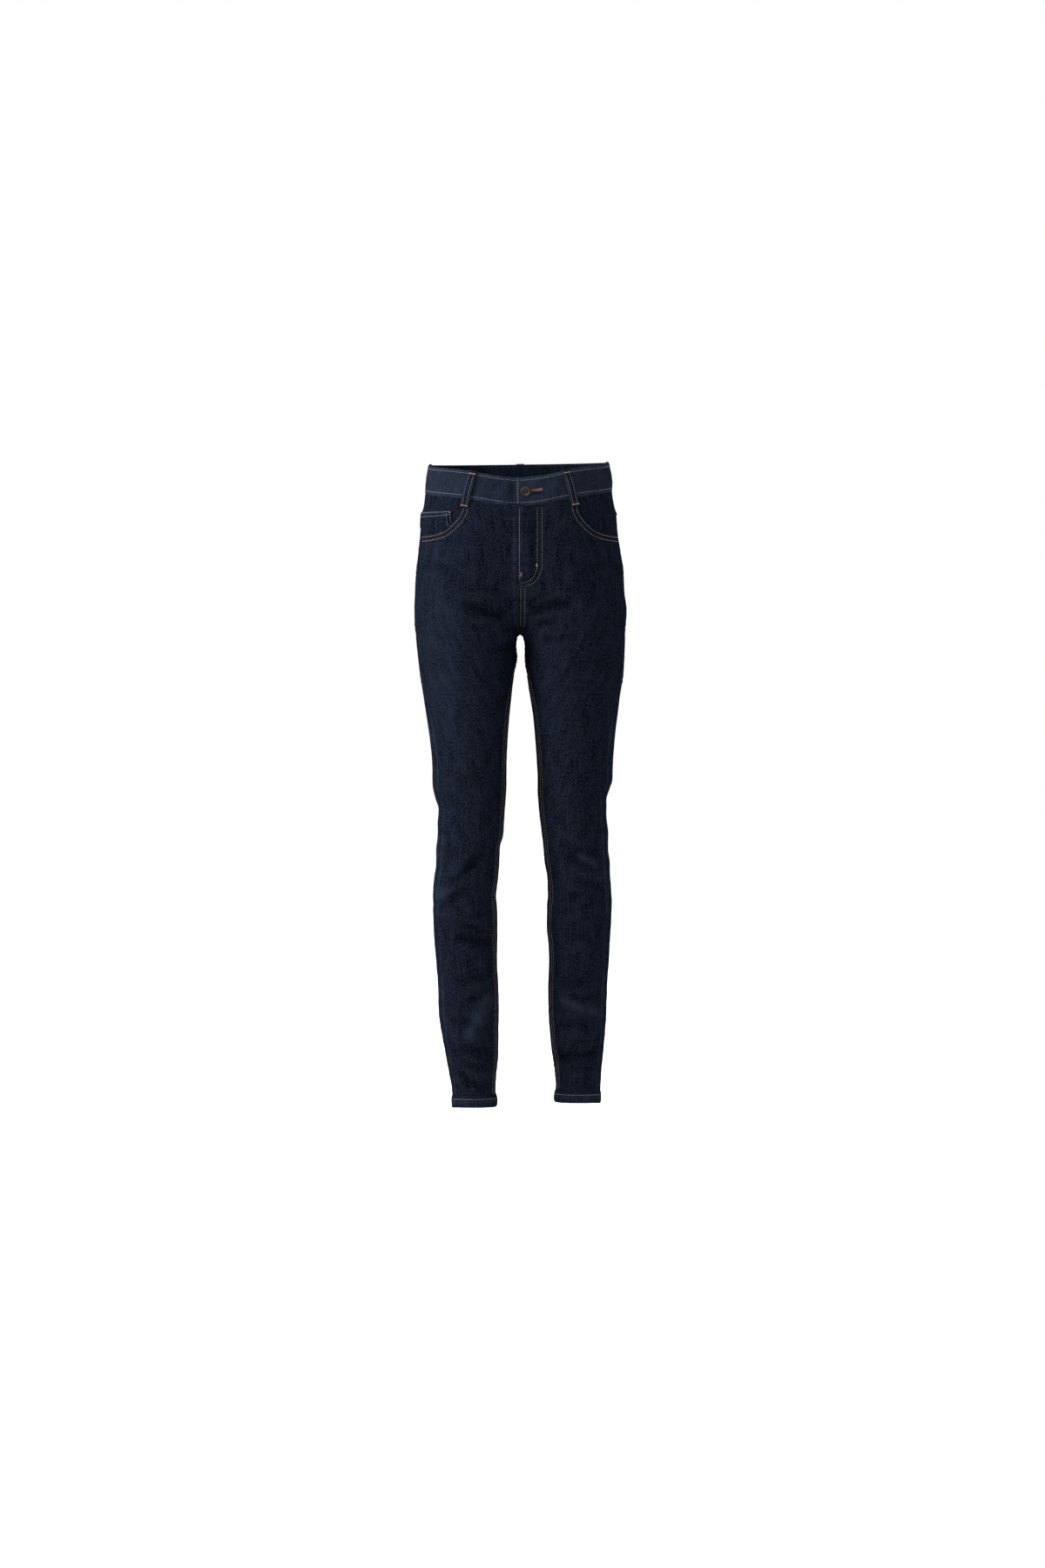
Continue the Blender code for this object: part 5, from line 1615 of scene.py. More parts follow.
@dataclass
class Waistband(Part):
    """One straight band folded double, its end lapped over the underlap and buttoned."""

    rows: int = 13
    padding: float = 0.3
    lower_line: float = 4.2
    upper_line: float = 3.6
    end_line: float = 3.2
    keyhole: tuple[float, float] = (3.1, 4.7)
    keyhole_stitches: int = 18

    def spots(
        self, side: Side, face: Face, s: Array, height: Array | float, out: Array | float = 0.0
    ) -> Spots:
        """Spots on the band's outer face at a height above its lower edge.

        Args:
            side: left or right.
            face: front or back.
            s: shares across the panel.
            height: heights above the band's lower edge.
            out: how far outside the cloth.

        Returns:
            The spots.
        """
        s, height = matched(s, height)
        z = self.skin.waist_z(side, face, s) + height
        points, normals = self.skin.plain(side, face, s, z)
        wobble = 0.22 * soft_noise(s * 9.0, height / 60.0, 44)
        wobble = wobble + 0.2 * soft_noise(s * 4.0, height / 13.0, 45)
        fold = self.skin.creases(side, points)
        return Spots(points + normals * (BAND_OUT + out + wobble - fold)[..., None], normals)

    def _at(self, side: Side, x: Array | float) -> Array:
        """The shares at distances from the middle plane."""
        return self.skin.share_at_x(side, FRONT, x, WAIST_SEAM_Z)

    def stations(self) -> list[tuple[Side, Face, Array, Array]]:
        """Stretches of the band: side, face, shares and depths, right round to the underlap.

        Returns:
            The stretches in order.
        """
        dive_x = np.linspace(22, 0.5, 14)
        below = BAND_THICK + LAYER_GAP + 0.25
        flat = [
            (RIGHT, FRONT, self._at(RIGHT, np.linspace(BAND_LAP, 0.4, 4))),
            (LEFT, FRONT, np.linspace(1, 0, 64)),
            (LEFT, BACK, np.linspace(0, 1, 64)[1:]),
            (RIGHT, BACK, np.linspace(1, 0, 64)[1:]),
            (RIGHT, FRONT, np.linspace(0, float(self._at(RIGHT, 24.0)), 52)[1:]),
        ]
        under = self._at(LEFT, np.linspace(0, BAND_UNDERLAP, 12))
        return [
            *((side, face, s, np.zeros(len(s))) for side, face, s in flat),
            (RIGHT, FRONT, self._at(RIGHT, dive_x), below * eased(dive_x, 22.0, 8.0)),
            (LEFT, FRONT, under, np.full(len(under), below)),
        ]

    def build(self, button: Matrix) -> Thing:
        """Build the band and cut its buttonhole round the button.

        Args:
            button: the button's place.

        Returns:
            The band.
        """
        heights = np.linspace(SEAM_GAP / 2 - 0.8, BAND_HEIGHT, self.rows + 1)[:, None]
        points, normals = [], []
        for side, face, s, depth in self.stations():
            spots = self.spots(side, face, s[None, :], heights, -depth[None, :])
            points.append(spots.points)
            normals.append(spots.normals)
        spots = Spots(np.concatenate(points, axis=1), np.concatenate(normals, axis=1))
        share = heights / BAND_HEIGHT
        flat = np.zeros(spots.points.shape[:2])
        padding = self.padding * np.sin(math.pi * np.clip(share, 0, 1)) + flat
        wear = 0.42 + 0.5 * eased(share, 0.9, 1.0) + 0.3 * (1 - eased(share, 0.02, 0.12)) + flat
        thing = Shell(spots.moved(padding), spots.moved(-BAND_THICK), wear).build(
            "waistband_cloth", self.materials.denim, self.materials.denim
        )
        self._cut(thing, button)
        return dress(thing, "waistband")

    def _cut(self, thing: Thing, button: Matrix) -> None:
        """Cut the eye, the slit and the stem's hole, then remove the cutters.

        Args:
            thing: the band.
            button: the button's place.
        """
        middle = -(BAND_THICK + LAYER_GAP / 2)
        stem_z, stem_depth = middle - BAND_THICK * 1.5, BAND_THICK * 3
        holes = ((0.0, BUTTON_EYE, -2 * middle), (stem_z, BUTTON_STEM_HOLE, stem_depth))
        cutters = []
        for height, across, depth in holes:
            bpy.ops.mesh.primitive_cylinder_add(vertices=32, radius=across * MM / 2, depth=depth * MM)
            cutters.append(bpy.context.object)
            cutters[-1].matrix_world = button @ Matrix.Translation(Vector((0, 0, height)) * MM)
        bpy.ops.mesh.primitive_cube_add(size=MM)
        slit = bpy.context.object
        slit.data.transform(Matrix.Diagonal((BUTTONHOLE_LENGTH, BUTTONHOLE_SLIT, -2 * middle, 1.0)))
        slit.matrix_world = button @ Matrix.Translation(Vector((BUTTONHOLE_LENGTH / 2, 0, 0)) * MM)
        cutters.append(slit)
        for cutter in cutters:
            cut = thing.modifiers.new("cut", "BOOLEAN")
            cut.solver = "EXACT"
            cut.object = cutter
        graph = bpy.context.evaluated_depsgraph_get()
        mesh = bpy.data.meshes.new_from_object(thing.evaluated_get(graph))
        thing.modifiers.clear()
        thing.data = mesh
        for cutter in cutters:
            bpy.data.objects.remove(cutter, do_unlink=True)

    def sew(self, hand: Seamstress, button: Matrix) -> None:
        """Lines along both edges, up the lapped end, and the keyhole of the buttonhole.

        Args:
            hand: lays the stitches.
            button: the button's place.
        """
        for height in (self.lower_line, BAND_HEIGHT - self.upper_line):
            for side, face, s, depth in self.stations()[:6]:
                steps = np.linspace(0, len(s) - 1, 4 * len(s))
                fine = np.interp(steps, np.arange(len(s)), s)
                lift = self.padding * math.sin(math.pi * height / BAND_HEIGHT)
                lift = lift - np.interp(steps, np.arange(len(s)), depth)
                hand.line(self.spots(side, face, fine, height, lift), Thread.SLATE)
        up = np.linspace(3.0, BAND_HEIGHT - 3.0, 20)
        s = np.full(20, float(self._at(RIGHT, self.end_line)))
        hand.line(self.spots(RIGHT, FRONT, s, up, 0.2), Thread.SLATE)
        turn = button.to_3x3()
        normal = np.array(turn @ Vector((0, 0, 1)))
        across = np.array([-1.7, -0.4, 0.4, 1.7]) + BAND_HEIGHT * 0.5
        for x in np.arange(6.2, BUTTONHOLE_LENGTH + 1.6, 0.5):
            rows = self.spots(LEFT, FRONT, self._at(LEFT, BUTTON_X + x), across, 0.5)
            for low in (0, 2):
                ends = rows.points[low], rows.points[low + 1]
                hand.stitch(*ends, rows.normals[low], Thread.RUST, 0.3)
        for angle in np.radians(np.linspace(30, 330, self.keyhole_stitches)):
            ring = Vector((math.cos(angle), math.sin(angle), 0))
            ends = (button @ ((ring * radius + Vector((0, 0, 0.25))) * MM) for radius in self.keyhole)
            hand.stitch(*(np.array(end) / MM for end in ends), normal, Thread.RUST, 0.3)


@dataclass
class FrontPockets(Part):
    """The facings in the hand pockets' mouths and the coin pocket on the right one."""

    columns: int = 40
    rows: int = 22
    below_mouth: float = 0.1107
    mouth_lines: tuple[float, float] = (4.0, 10.4)

    def grid(
        self, side: Side, first: float, last: float, top: float | None, tuck: float, room: float
    ) -> Spots:
        """Spots of a facing, between two columns of the seven that the pocket's width counts.

        Args:
            side: left or right.
            first: first column, 0 at the side seam.
            last: last column; 6 is the mouth's corner.
            top: height of the upper edge, or None for the waist seam.
            tuck: how far behind the cloth the facing lies at the mouth.
            room: further depth that the coin pocket needs.

        Returns:
            The grid of spots.
        """
        corner = float(self.skin.share_at_x(side, FRONT, POCKET_CORNER_X, POCKET_MOUTH[0].z))
        column = np.linspace(first, last, self.columns + 1)
        inside = column <= CORNER_COLUMN
        shares = [corner * share for share in TOP_COLUMN_SHARES] + [corner + (1 - corner) / 4]
        s = np.interp(column, range(8), shares)
        mouth = np.where(inside, self.skin.mouth_z(side, np.minimum(s, corner)), POCKET_MOUTH[0].z)
        high = self.skin.waist_z(side, FRONT, s) if top is None else np.full(s.shape, top)
        low = mouth + (EVEN_ROWS_FROM_Z - mouth) * self.below_mouth
        low = low + (FACING_CORNER_Z - low) * eased(column, CORNER_COLUMN - 1, CORNER_COLUMN)
        x = np.abs(self.skin.base_point(side, FRONT, s, mouth)[..., 0])
        slope = np.gradient(mouth, x)
        reach = np.where(inside, FACING_RISE * np.hypot(1.0, np.clip(slope, -8, 8)), 1e6)
        share = np.linspace(0, 1, self.rows + 1)[:, None]
        z = high + (low - high) * share
        rise = eased((z - mouth) / reach, 0.0, 1.0)
        space = room * np.clip((CORNER_COLUMN - column) / 2, 0, 1)
        points, normals = self.skin.plain(side, FRONT, np.broadcast_to(s, z.shape), z)
        return Spots(points - normals * ((tuck + space) * (1 - rise))[..., None], normals)

    def build(self) -> list[Thing]:
        """Build both facings and the coin pocket.

        Returns:
            The three pieces.
        """
        made = []
        tuck = PANEL_THICK + PATCH_GAP
        for side in SIDES:
            room = LAYER_THICK + LAYER_GAP if side == RIGHT else 0.0
            spots = self.grid(side, 0.0, 7.0, None, tuck, room)
            shell, name = Shell(spots.moved(0.0), spots.moved(-LAYER_THICK)), f"pocket_facing_{side}"
            made.append(self.cloth(shell, name, f"front_{side}"))
        coin = self.coin()
        down = np.linspace(0, 1, self.rows + 1)[:, None]
        wear = 0.6 * (1 - eased(down, 0.03, 0.12)) + np.zeros(coin.points.shape[:2])
        shell, name = Shell(coin.moved(LAYER_GAP + LAYER_THICK), coin.moved(LAYER_GAP), wear), "coin_pocket"
        made.append(self.cloth(shell, name, "pocket_facing_right"))
        return made

    def coin(self) -> Spots:
        """Spots of the facing under the coin pocket."""
        tuck = PANEL_THICK + PATCH_GAP
        return self.grid(RIGHT, 0.0, 4.0, COIN_TOP_Z, tuck, LAYER_THICK + LAYER_GAP)

    def mouth_line(self, side: Side, inward: float) -> Spots:
        """Spots along the mouth, moved onto the panel by a distance.

        Args:
            side: left or right.
            inward: how far onto the panel.

        Returns:
            The spots in order.
        """
        x = np.concatenate((np.linspace(POCKET_CORNER_X, 94.0, 20), np.linspace(94.3, 152.0, 60)))
        z = MOUTH_Z(x)
        slope = np.gradient(z, x)
        away = np.stack((slope, -np.ones_like(slope)), axis=1)
        away = away / np.linalg.norm(away, axis=1, keepdims=True) * inward
        x, z = x + away[:, 0], z + away[:, 1]
        keep = z < self.skin.waist_z(side, FRONT, self.skin.share_at_x(side, FRONT, x, z)) - 1
        return self.skin.at_xz(side, FRONT, x[keep] * SIDES[side], z[keep], 0.0)

    def sew(self, hand: Seamstress) -> None:
        """Double lines below the mouths, and the coin pocket's lines.

        Args:
            hand: lays the stitches.
        """
        for side in SIDES:
            for inward in self.mouth_lines:
                hand.line(self.mouth_line(side, inward), Thread.TAN)
        coin = self.coin()
        lift = LAYER_GAP + LAYER_THICK
        for row in (1, 4):
            hand.line(Spots(coin.moved(lift)[row, 1:-1], coin.normals[row, 1:-1]), Thread.SLATE)
        for column in (-2, -6):
            hand.line(Spots(coin.moved(lift)[2:, column], coin.normals[2:, column]), Thread.SLATE)
        top = coin.moved(lift)
        hand.bar(top[1, -2], top[3, -2], coin.normals[1, -2], Thread.SLATE, 2.0)


@dataclass
class BackPockets(Part):
    """Plain patch pockets with a pointed lower edge."""

    columns: int = 36
    rows: int = 36
    top_share: float = 0.3776
    low_z: float = -209.3
    point_drop: float = 7.7
    first: float = 0.305
    last: float = 0.775
    taper: float = 0.035
    fullness: float = 0.9
    edge_lines: tuple[float, float] = (0.02, 0.075)
    hem_lines: tuple[float, float] = (0.02, 0.12)

    def spots(self, side: Side, across: Array, down: Array, out: Array | float) -> Spots:
        """Spots on a pocket: across and down are shares of its width and height.

        Args:
            side: left or right.
            across: shares of the width.
            down: shares of the height.
            out: how far outside the cloth.

        Returns:
            The spots.
        """
        across, down = matched(across, down)
        s = (self.first + self.taper * down) * (1 - across) + (self.last - self.taper * down) * across
        top = self.skin.top_z(side, BACK, s)
        high = top + (EVEN_ROWS_FROM_Z - top) * self.top_share
        low = self.low_z - self.point_drop * (1 - np.abs(2 * across - 1))
        return self.skin.spots(side, BACK, s, high + (low - high) * down, out)

    def gape(self, across: Array, down: Array | float) -> Array:
        """How far the mouth stands open."""
        return self.fullness * (1 - eased(down, 0.0, 0.22)) * np.sin(math.pi * across)

    def build(self) -> list[Thing]:
        """Build both pockets.

        Returns:
            The pockets.
        """
        made = []
        across = np.linspace(0, 1, self.columns + 1)[None, :]
        down = np.linspace(0, 1, self.rows + 1)[:, None]
        for side in SIDES:
            gap = PATCH_GAP + self.gape(across, down)
            spots = self.spots(side, across, down, 0.0)
            rim = np.minimum(np.minimum(across, 1 - across) * 6, np.minimum(down, 1 - down) * 6)
            wear = 0.6 * (1 - np.clip(rim * 3, 0, 1))
            name = f"back_pocket_{side}"
            shell = Shell(spots.moved(gap + LAYER_THICK), spots.moved(gap), wear)
            made.append(self.cloth(shell, name, f"back_{side}"))
        return made

    def sew(self, hand: Seamstress) -> None:
        """Two lines round the sides and the point, and two across the hem.

        Args:
            hand: lays the stitches.
        """
        for side in SIDES:
            out = PATCH_GAP + LAYER_THICK
            for inset in self.edge_lines:
                down = np.linspace(0.02, 1 - inset * 0.8, 50)
                path_across = np.concatenate(
                    (np.full(50, inset), np.linspace(inset, 1 - inset, 60), np.full(50, 1 - inset))
                )
                path_down = np.concatenate((down, np.full(60, 1 - inset * 0.8), down[::-1]))
                hand.line(self.spots(side, path_across, path_down, out), Thread.TAN)
            across = np.linspace(0.03, 0.97, 60)
            for down in self.hem_lines:
                gap = out + self.gape(across, down)
                hand.line(self.spots(side, across, np.full(60, down), gap), Thread.TAN)


@dataclass
class Fly(Part):
    """The stitched fly, the closed zip behind it and the shield behind the zip."""

    panels: LegPanels
    columns: int = 12
    rows: int = 40
    tooth_pitch: float = 1.9
    tooth: tuple[float, float, float] = (3.0, 0.45, 1.1)
    slider: tuple[float, float, float] = (7.0, 0.6, 9.0)

    def strip(self, from_x: float, to_x: float, to_z: float, out: float) -> Spots:
        """Spots behind the fly between two distances from the middle plane.

        Args:
            from_x: the first distance, below 0 on the right.
            to_x: the last one.
            to_z: height of the lower end.
            out: how far outside the cloth.

        Returns:
            A grid of spots.
        """
        x = np.linspace(from_x, to_x, self.columns + 1)
        points, normals = [], []
        for value in x:
            side = LEFT if value >= 0 else RIGHT
            top = self.skin.share_at_x(side, FRONT, abs(value), WAIST_SEAM_Z)
            high = float(self.skin.waist_z(side, FRONT, top)) - SEAM_GAP
            z = np.linspace(high, to_z, self.rows + 1)
            s = self.skin.share_at_x(side, FRONT, np.full(z.shape, abs(value)), z)
            point, normal = self.skin.plain(side, FRONT, s, z)
            fold = self.skin.creases(side, point)
            points.append(point + normal * (out - fold)[..., None])
            normals.append(normal)
        return Spots(np.stack(points, axis=1), np.stack(normals, axis=1))

    def build(self) -> list[Thing]:
        """Build the shield, the zip's tape and its teeth and slider.

        Returns:
            The pieces.
        """
        made = []
        depth = -PANEL_THICK - PATCH_GAP - 0.2
        tape = self.strip(ZIP_FROM_X, ZIP_TO_X, ZIP_END_Z, depth)
        ribbon = Shell(tape.moved(0.0), tape.moved(-LAYER_THICK))
        thing = ribbon.build("zip_tape", self.materials.tape, self.materials.tape)
        made.append(dress(thing, "zip"))
        made.append(dress(self._teeth(tape), "zip"))
        shield = self.strip(SHIELD_FROM_X, SHIELD_TO_X, SHIELD_END_Z, depth - LAYER_THICK - PATCH_GAP - 0.2)
        shell, name = Shell(shield.moved(0.0), shield.moved(-LAYER_THICK)), "fly_shield"
        made.append(self.cloth(shell, name, "front_right"))
        return made

    def _teeth(self, tape: Spots) -> Thing:
        """Meshed teeth down the middle of the tape, with the slider at the top.

        Args:
            tape: spots of the tape.

        Returns:
            The teeth and the slider as one object.
        """
        middle = tape.points[:, self.columns // 2] + tape.normals[:, self.columns // 2] * -0.2
        run = run_of(middle)
        box = np.array([(x, y, z) for x in (-0.5, 0.5) for y in (-0.5, 0.5) for z in (-0.5, 0.5)])
        sides = [(0, 1, 3, 2), (4, 6, 7, 5), (0, 4, 5, 1), (2, 3, 7, 6), (0, 2, 6, 4), (1, 5, 7, 3)]
        points, faces = [], []
        for k, at in enumerate(np.arange(4.0, run[-1] - 2, self.tooth_pitch)):
            centre = np.array([np.interp(at, run, middle[:, c]) for c in range(3)])
            size = self.tooth if k else self.slider
            shift = np.array([0.9 if k % 2 else -0.9, 0.0, 0.0]) if k else np.zeros(3)
            faces += [[8 * k + i for i in side] for side in sides]
            points.append(centre + shift + box * size)
        mesh = bpy.data.meshes.new("zip_teeth")
        mesh.from_pydata((np.concatenate(points) * MM).tolist(), [], faces)
        mesh.materials.append(self.materials.brass)
        return place_object("zip_teeth", mesh)

    def sew(self, hand: Seamstress) -> None:
        """The edge line, the two curved lines of the fly and its bar tacks.

        Args:
            hand: lays the stitches.
        """
        for curve in ("inner", "outer"):
            path = np.array(FLY_CURVES[curve], float)
            run = run_of(path)
            at = np.arange(0.0, run[-1], 1.5)
            x, z = (np.interp(at, run, path[:, k]) for k in (0, 1))
            hand.line(self.panels.on_fly(x, z, 0.1), Thread.BROWN)
        z = np.arange(-46.0, -158.0, -2.0)
        edge = self.skin.spots(LEFT, FRONT, np.full(z.shape, 1.0), z, 1.5)
        shifted = edge.points + np.array([-1.0, 0.0, 0.0])
        hand.line(Spots(shifted, edge.normals), Thread.SLATE)
        for x, z, thread in ((1.6, -143.0, Thread.BRICK), (25.5, -129.0, Thread.TAN)):
            spots = self.panels.on_fly(np.array([x, x]), np.array([z, z - 5.5]), 0.2)
            hand.bar(spots.points[0], spots.points[1], spots.normals[0], thread)


@dataclass
class BeltLoops(Part):
    """Five loops: flat at both ends and standing off the band between them."""

    band: Waistband
    rows: int = 40
    columns: int = 8
    raised: float = 0.35
    line_at: float = 2.9
    tack_heights: tuple[float, float] = (38.5, -11.5)

    def spots(self, loop: Loop, across: Array, height: Array, out: float) -> Spots:
        """Spots on a loop: across in millimetres from its middle line.

        Args:
            loop: the loop.
            across: distances from its middle line.
            height: heights above the band's lower edge.
            out: how far outside the cloth.

        Returns:
            The spots.
        """
        across, height = matched(across, height)
        lift = LOOP_OUT(height) + out
        share = (BAND_HEIGHT - height) / (BAND_HEIGHT - LOOP_PROFILE[-1].height)
        if loop.face == FRONT:
            x = loop.x_top + (loop.x_bottom - loop.x_top) * share + across
            s = self.skin.share_at_x(loop.side, FRONT, x, WAIST_SEAM_Z)
            return self.band.spots(loop.side, FRONT, s, height, lift)
        if loop.name != "loop_back":
            return self.band.spots(loop.side, BACK, loop.s + across / LOOP_SIDE_ARC, height, lift)
        left = self.skin.share_at_x(LEFT, BACK, np.abs(across), WAIST_SEAM_Z)
        one = self.band.spots(LEFT, BACK, left, height, lift)
        two = self.band.spots(RIGHT, BACK, left, height, lift)
        pick = (across >= 0)[..., None]
        return Spots(np.where(pick, one.points, two.points), np.where(pick, one.normals, two.normals))

    def build(self) -> list[Thing]:
        """Build the five loops.

        Returns:
            The loops.
        """
        made = []
        height = np.linspace(LOOP_PROFILE[0].height, LOOP_PROFILE[-1].height, self.rows + 1)[:, None]
        across = np.linspace(-LOOP_WIDTH / 2, LOOP_WIDTH / 2, self.columns + 1)[None, :]
        off = np.abs(across)
        for loop in LOOPS:
            spots = self.spots(loop, across, height, self.raised)
            ridge = 0.35 * bump(off, 3.6, 1.3) + height * 0
            wear = 0.9 * bump(off, 5.6, 0.9) + 0.5 * bump(off, 3.0, 0.8) + height * 0
            shell = Shell(spots.moved(LOOP_THICK + ridge), spots.moved(0.0), wear)
            made.append(self.cloth(shell, loop.name, "waistband"))
        return made

    def sew(self, hand: Seamstress) -> None:
        """Two lines down each loop and a bar tack at both ends.

        Args:
            hand: lays the stitches.
        """
        height = np.linspace(40.0, -12.0, 50)
        for loop in LOOPS:
            foot = Thread.BRICK if loop.name == "loop_front_right" else Thread.TAN
            for across in (-self.line_at, self.line_at):
                hand.line(self.spots(loop, np.full(50, across), height, LOOP_THICK + 0.6), Thread.BROWN)
            for at, thread in zip(self.tack_heights, (Thread.TAN, foot)):
                ends = self.spots(loop, np.array([-5.0, 5.0]), np.array([at, at]), LOOP_THICK + 0.65)
                hand.bar(ends.points[0], ends.points[1], ends.normals[0], thread, 2.0)


@dataclass
class Hems(Part):
    """Turned hems: doubled rings that rope a little where the stitching drags the cloth."""

    rows: int = 14
    columns: int = 60
    rope: float = 0.45
    rope_pitch: float = 12.0
    rope_rise: float = 14.0
    stitch_height: float = 13.5

    def ring(self, side: Side, heights: Array, inside: bool, out: float = 0.0) -> Spots:
        """Spots of a hem: one row for each height, right round the leg.

        Args:
            side: left or right.
            heights: heights above the hem's edge.
            inside: whether it is the inner face.
            out: how far outside the cloth.

        Returns:
            The spots.
        """
        points, normals = [], []
        share = np.arange(self.columns) / self.columns
        for face, s in ((FRONT, share), (BACK, 1 - share)):
            s, height = np.broadcast_arrays(s[None, :], np.asarray(heights, float)[:, None])
            z = HEM_Z + height - self.skin.hem_drop(face, s)
            length, _ = self.skin.length(side, face, s, z)
            turn = length if face == FRONT else -length
            diagonal = turn / self.rope_pitch + height / self.rope_rise
            roping = self.rope * (np.sin(2 * math.pi * diagonal) + soft_noise(turn / 30.0, height / 30.0, 9))
            roping = roping * np.sin(math.pi * np.clip(height / HEM_HEIGHT, 0, 1))
            lift = HEM_INSIDE(height) if inside else HEM_OUT(height) + 0.3 + roping
            seam = self.skin.seams(side, face, s, z) + self.skin.drape(side, face, s, z)
            point, normal = self.skin.plain(side, face, s, z)
            folds = self.skin.creases(side, point)
            points.append(point + normal * (lift + out + seam - folds)[..., None])
            normals.append(normal)
        return Spots(np.concatenate(points, axis=1), np.concatenate(normals, axis=1))

    def build(self) -> list[Thing]:
        """Build both hems.

        Returns:
            The hems.
        """
        made = []
        heights = np.linspace(HEM_HEIGHT - SEAM_GAP / 2 + 0.6, 0.0, self.rows + 1)
        for side in SIDES:
            outer = self.ring(side, heights, False).points
            inner = self.ring(side, heights, True).points
            wear = (0.7 * bump(heights, 0.0, 2.6) + 0.45 * bump(heights, 9.0, 3.5))[:, None]
            wear = wear * (0.8 + 0.5 * np.sin(np.arange(2 * self.columns) * 1.7))[None, :]
            shell = Shell(outer, inner, np.clip(wear, 0, 1), ring=True)
            panels = [f"front_{side}", f"back_{side}"]
            made.append(self.cloth(shell, f"hem_{side}", *panels))
        return made

    def sew(self, hand: Seamstress) -> None:
        """One line of stitches round each hem.

        Args:
            hand: lays the stitches.
        """
        for side in SIDES:
            spots = self.ring(side, np.array([self.stitch_height]), False, 0.05)
            points = np.concatenate((spots.points[0], spots.points[0, :1]))
            normals = np.concatenate((spots.normals[0], spots.normals[0, :1]))
            hand.line(Spots(points, normals), Thread.GREY)


@dataclass
class TackButton(Part):
    """A turned tack button with a domed rim, its shank through the buttonhole."""

    turns: int = 56

    def seat(self) -> Matrix:
        """The button's place on the band's outer face, with its axis pointing out.

        Returns:
            The place, in metres.
        """
        s = self.skin.share_at_x(LEFT, FRONT, BUTTON_X, WAIST_SEAM_Z)
        z = self.skin.waist_z(LEFT, FRONT, s) + BAND_HEIGHT * 0.5
        point, normal = self.skin.plain(LEFT, FRONT, s, z)
        way = Vector(normal)
        turn = Vector((0, 0, 1)).rotation_difference(way).to_matrix().to_4x4()
        return Matrix.Translation((Vector(point) + way * BAND_OUT) * MM) @ turn

    def build(self) -> Thing:
        """Build the button as one turned mesh.

        Returns:
            The button.
        """
        profile = np.array(BUTTON_FINE, float)
        angles = np.arange(self.turns) * 2 * math.pi / self.turns
        points, faces = [], []
        for radius, height in profile:
            across, up = radius * np.cos(angles), radius * np.sin(angles)
            points.append(np.stack((across, up, np.full(self.turns, height)), axis=1))
        for r in range(len(profile) - 1):
            for k in range(self.turns):
                a, b = r * self.turns + k, r * self.turns + (k + 1) % self.turns
                faces.append((a, b, b + self.turns, a + self.turns))
        faces.append(tuple(range(self.turns))[::-1])
        last = (len(profile) - 1) * self.turns
        faces.append(tuple(last + k for k in range(self.turns)))
        mesh = bpy.data.meshes.new("tack_button")
        mesh.from_pydata((np.concatenate(points) * MM).tolist(), [], faces)
        mesh.transform(self.seat())
        mesh.materials.append(self.materials.button)
        mesh.polygons.foreach_set("use_smooth", np.ones(len(faces), bool))
        repair_normals(mesh)
        return dress(place_object("tack_button", mesh), "button")


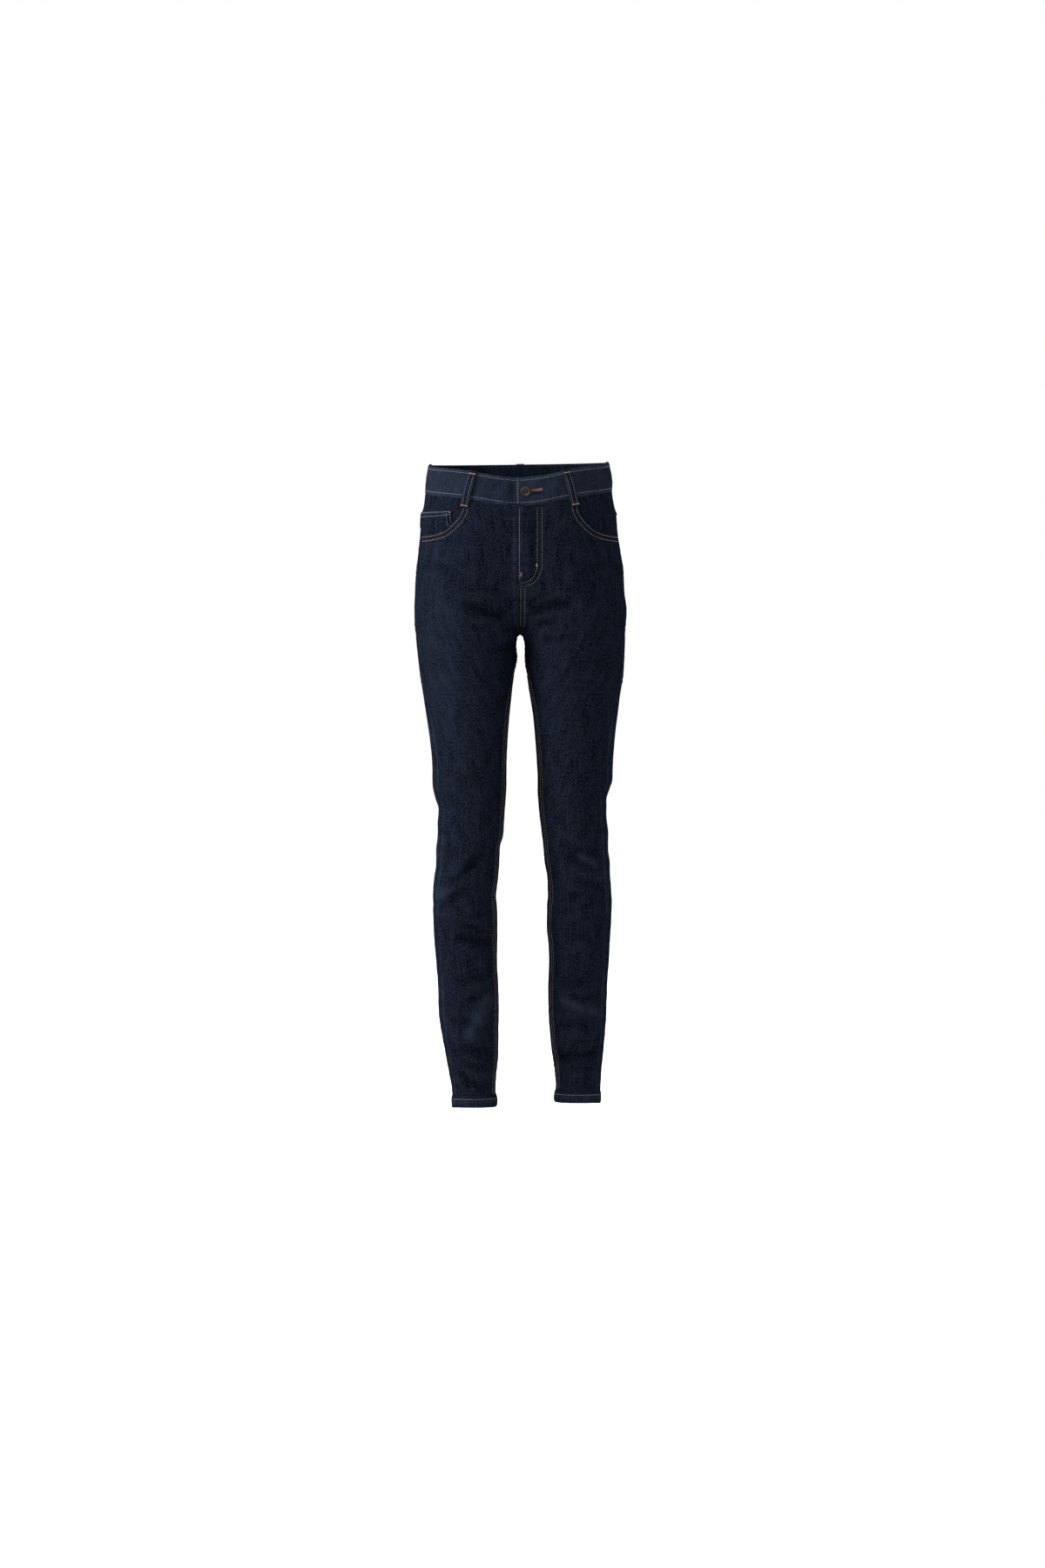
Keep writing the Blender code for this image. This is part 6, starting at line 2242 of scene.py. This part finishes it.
class Studio:
    """A pale floor, soft light and the camera."""

    FLOOR_Z = -1.05
    FLOOR_HALF = 6.0
    SENSOR = 36.0
    # The focal length over the frame's height
    LENS = 3607 / 1800
    CAMERA_PLACE = (0.0036, -4.88, -0.2033)
    CAMERA_DIP = 3.126
    AIM = (0.0, 0.0, -0.45)
    # Each soft light's name, place, width and strength
    LIGHTS = [
        ("key", (-2.9, -1.2, 1.5), 0.9, 250.0),
        ("fill", (-0.7, -1.7, 3.2), 0.9, 130.0),
        ("rim_left", (-2.2, 0.9, 0.1), 1.4, 40.0),
        ("rim_right", (2.2, 1.3, 0.1), 1.2, 38.0),
    ]

    def build(self) -> None:
        """Set the floor, the lights, the background and the camera."""
        scene = bpy.context.scene
        scene.view_settings.view_transform = "Standard"
        self._floor()
        for light in self.LIGHTS:
            self._light(*light)
        world = bpy.data.worlds.new("white studio")
        world.use_nodes = True
        background = next(n for n in world.node_tree.nodes if n.type == "BACKGROUND")
        background.inputs["Color"].default_value = linear_colour("#ffffff")
        background.inputs["Strength"].default_value = 1.0
        scene.world = world
        camera_data = bpy.data.cameras.new("camera")
        camera_data.sensor_width = self.SENSOR
        camera_data.lens = self.LENS * self.SENSOR
        camera = bpy.data.objects.new("camera", camera_data)
        camera.location = self.CAMERA_PLACE
        camera.rotation_euler = (math.radians(90 - self.CAMERA_DIP), 0.0, 0.0)
        scene.collection.objects.link(camera)
        scene.camera = camera

    def _floor(self) -> None:
        """A wide pale floor below the hems."""
        mesh = bpy.data.meshes.new("floor")
        half = self.FLOOR_HALF
        corners = ((-half, -half), (half, -half), (half, half), (-half, half))
        mesh.from_pydata([(x, y, self.FLOOR_Z) for x, y in corners], [], [(0, 1, 2, 3)])
        # Background paper is pressed without a coating, so it is matt. Light from the studio's own
        # lamps keeps it pure white, which a little emission stands for
        paper = bpy.data.materials.new("matt white paper")
        paper.use_nodes = True
        shader = next(n for n in paper.node_tree.nodes if n.type == "BSDF_PRINCIPLED")
        shader.inputs["Base Color"].default_value = linear_colour("#f6f6f6")
        shader.inputs["Roughness"].default_value = 0.9
        shader.inputs["Emission Color"].default_value = linear_colour("#ffffff")
        shader.inputs["Emission Strength"].default_value = 0.25
        mesh.materials.append(paper)
        floor = bpy.data.objects.new("floor", mesh)
        bpy.context.scene.collection.objects.link(floor)

    @staticmethod
    def _light(name: str, place: tuple[float, float, float], size: float, watts: float) -> None:
        """A square soft light that faces the jeans.

        Args:
            name: its name.
            place: where it stands.
            size: its width in metres.
            watts: its strength.
        """
        data = bpy.data.lights.new(name, "AREA")
        data.size = size
        data.energy = watts
        light = bpy.data.objects.new(name, data)
        light.location = place
        aim = Vector(Studio.AIM) - Vector(place)
        light.rotation_euler = aim.to_track_quat("-Z", "Y").to_euler()
        bpy.context.scene.collection.objects.link(light)


def main() -> None:
    """Build the jeans piece by piece, sew them and light them."""
    logging.basicConfig(level=logging.INFO, format="%(message)s")
    skin, materials = Skin(), Materials()
    hand = Seamstress()
    band = Waistband(skin, materials)
    button = TackButton(skin, materials)
    seat = button.seat()
    made = [band.build(seat), button.build()]
    band.sew(hand, seat)
    panels = LegPanels(skin, materials)
    for part in (
        panels,
        Yokes(skin, materials),
        FrontPockets(skin, materials),
        BackPockets(skin, materials),
        Fly(skin, materials, panels),
        BeltLoops(skin, materials, band),
        Hems(skin, materials),
    ):
        made += part.build()
        part.sew(hand)
    made += hand.finish(materials)
    for thing in made:
        count = sum(len(face.vertices) - 2 for face in thing.data.polygons)
        log.info("%s: %d triangles", thing.name, count)
    log.info("%d stitches", hand.count)
    Studio().build()


if __name__ == "__main__":
    main()
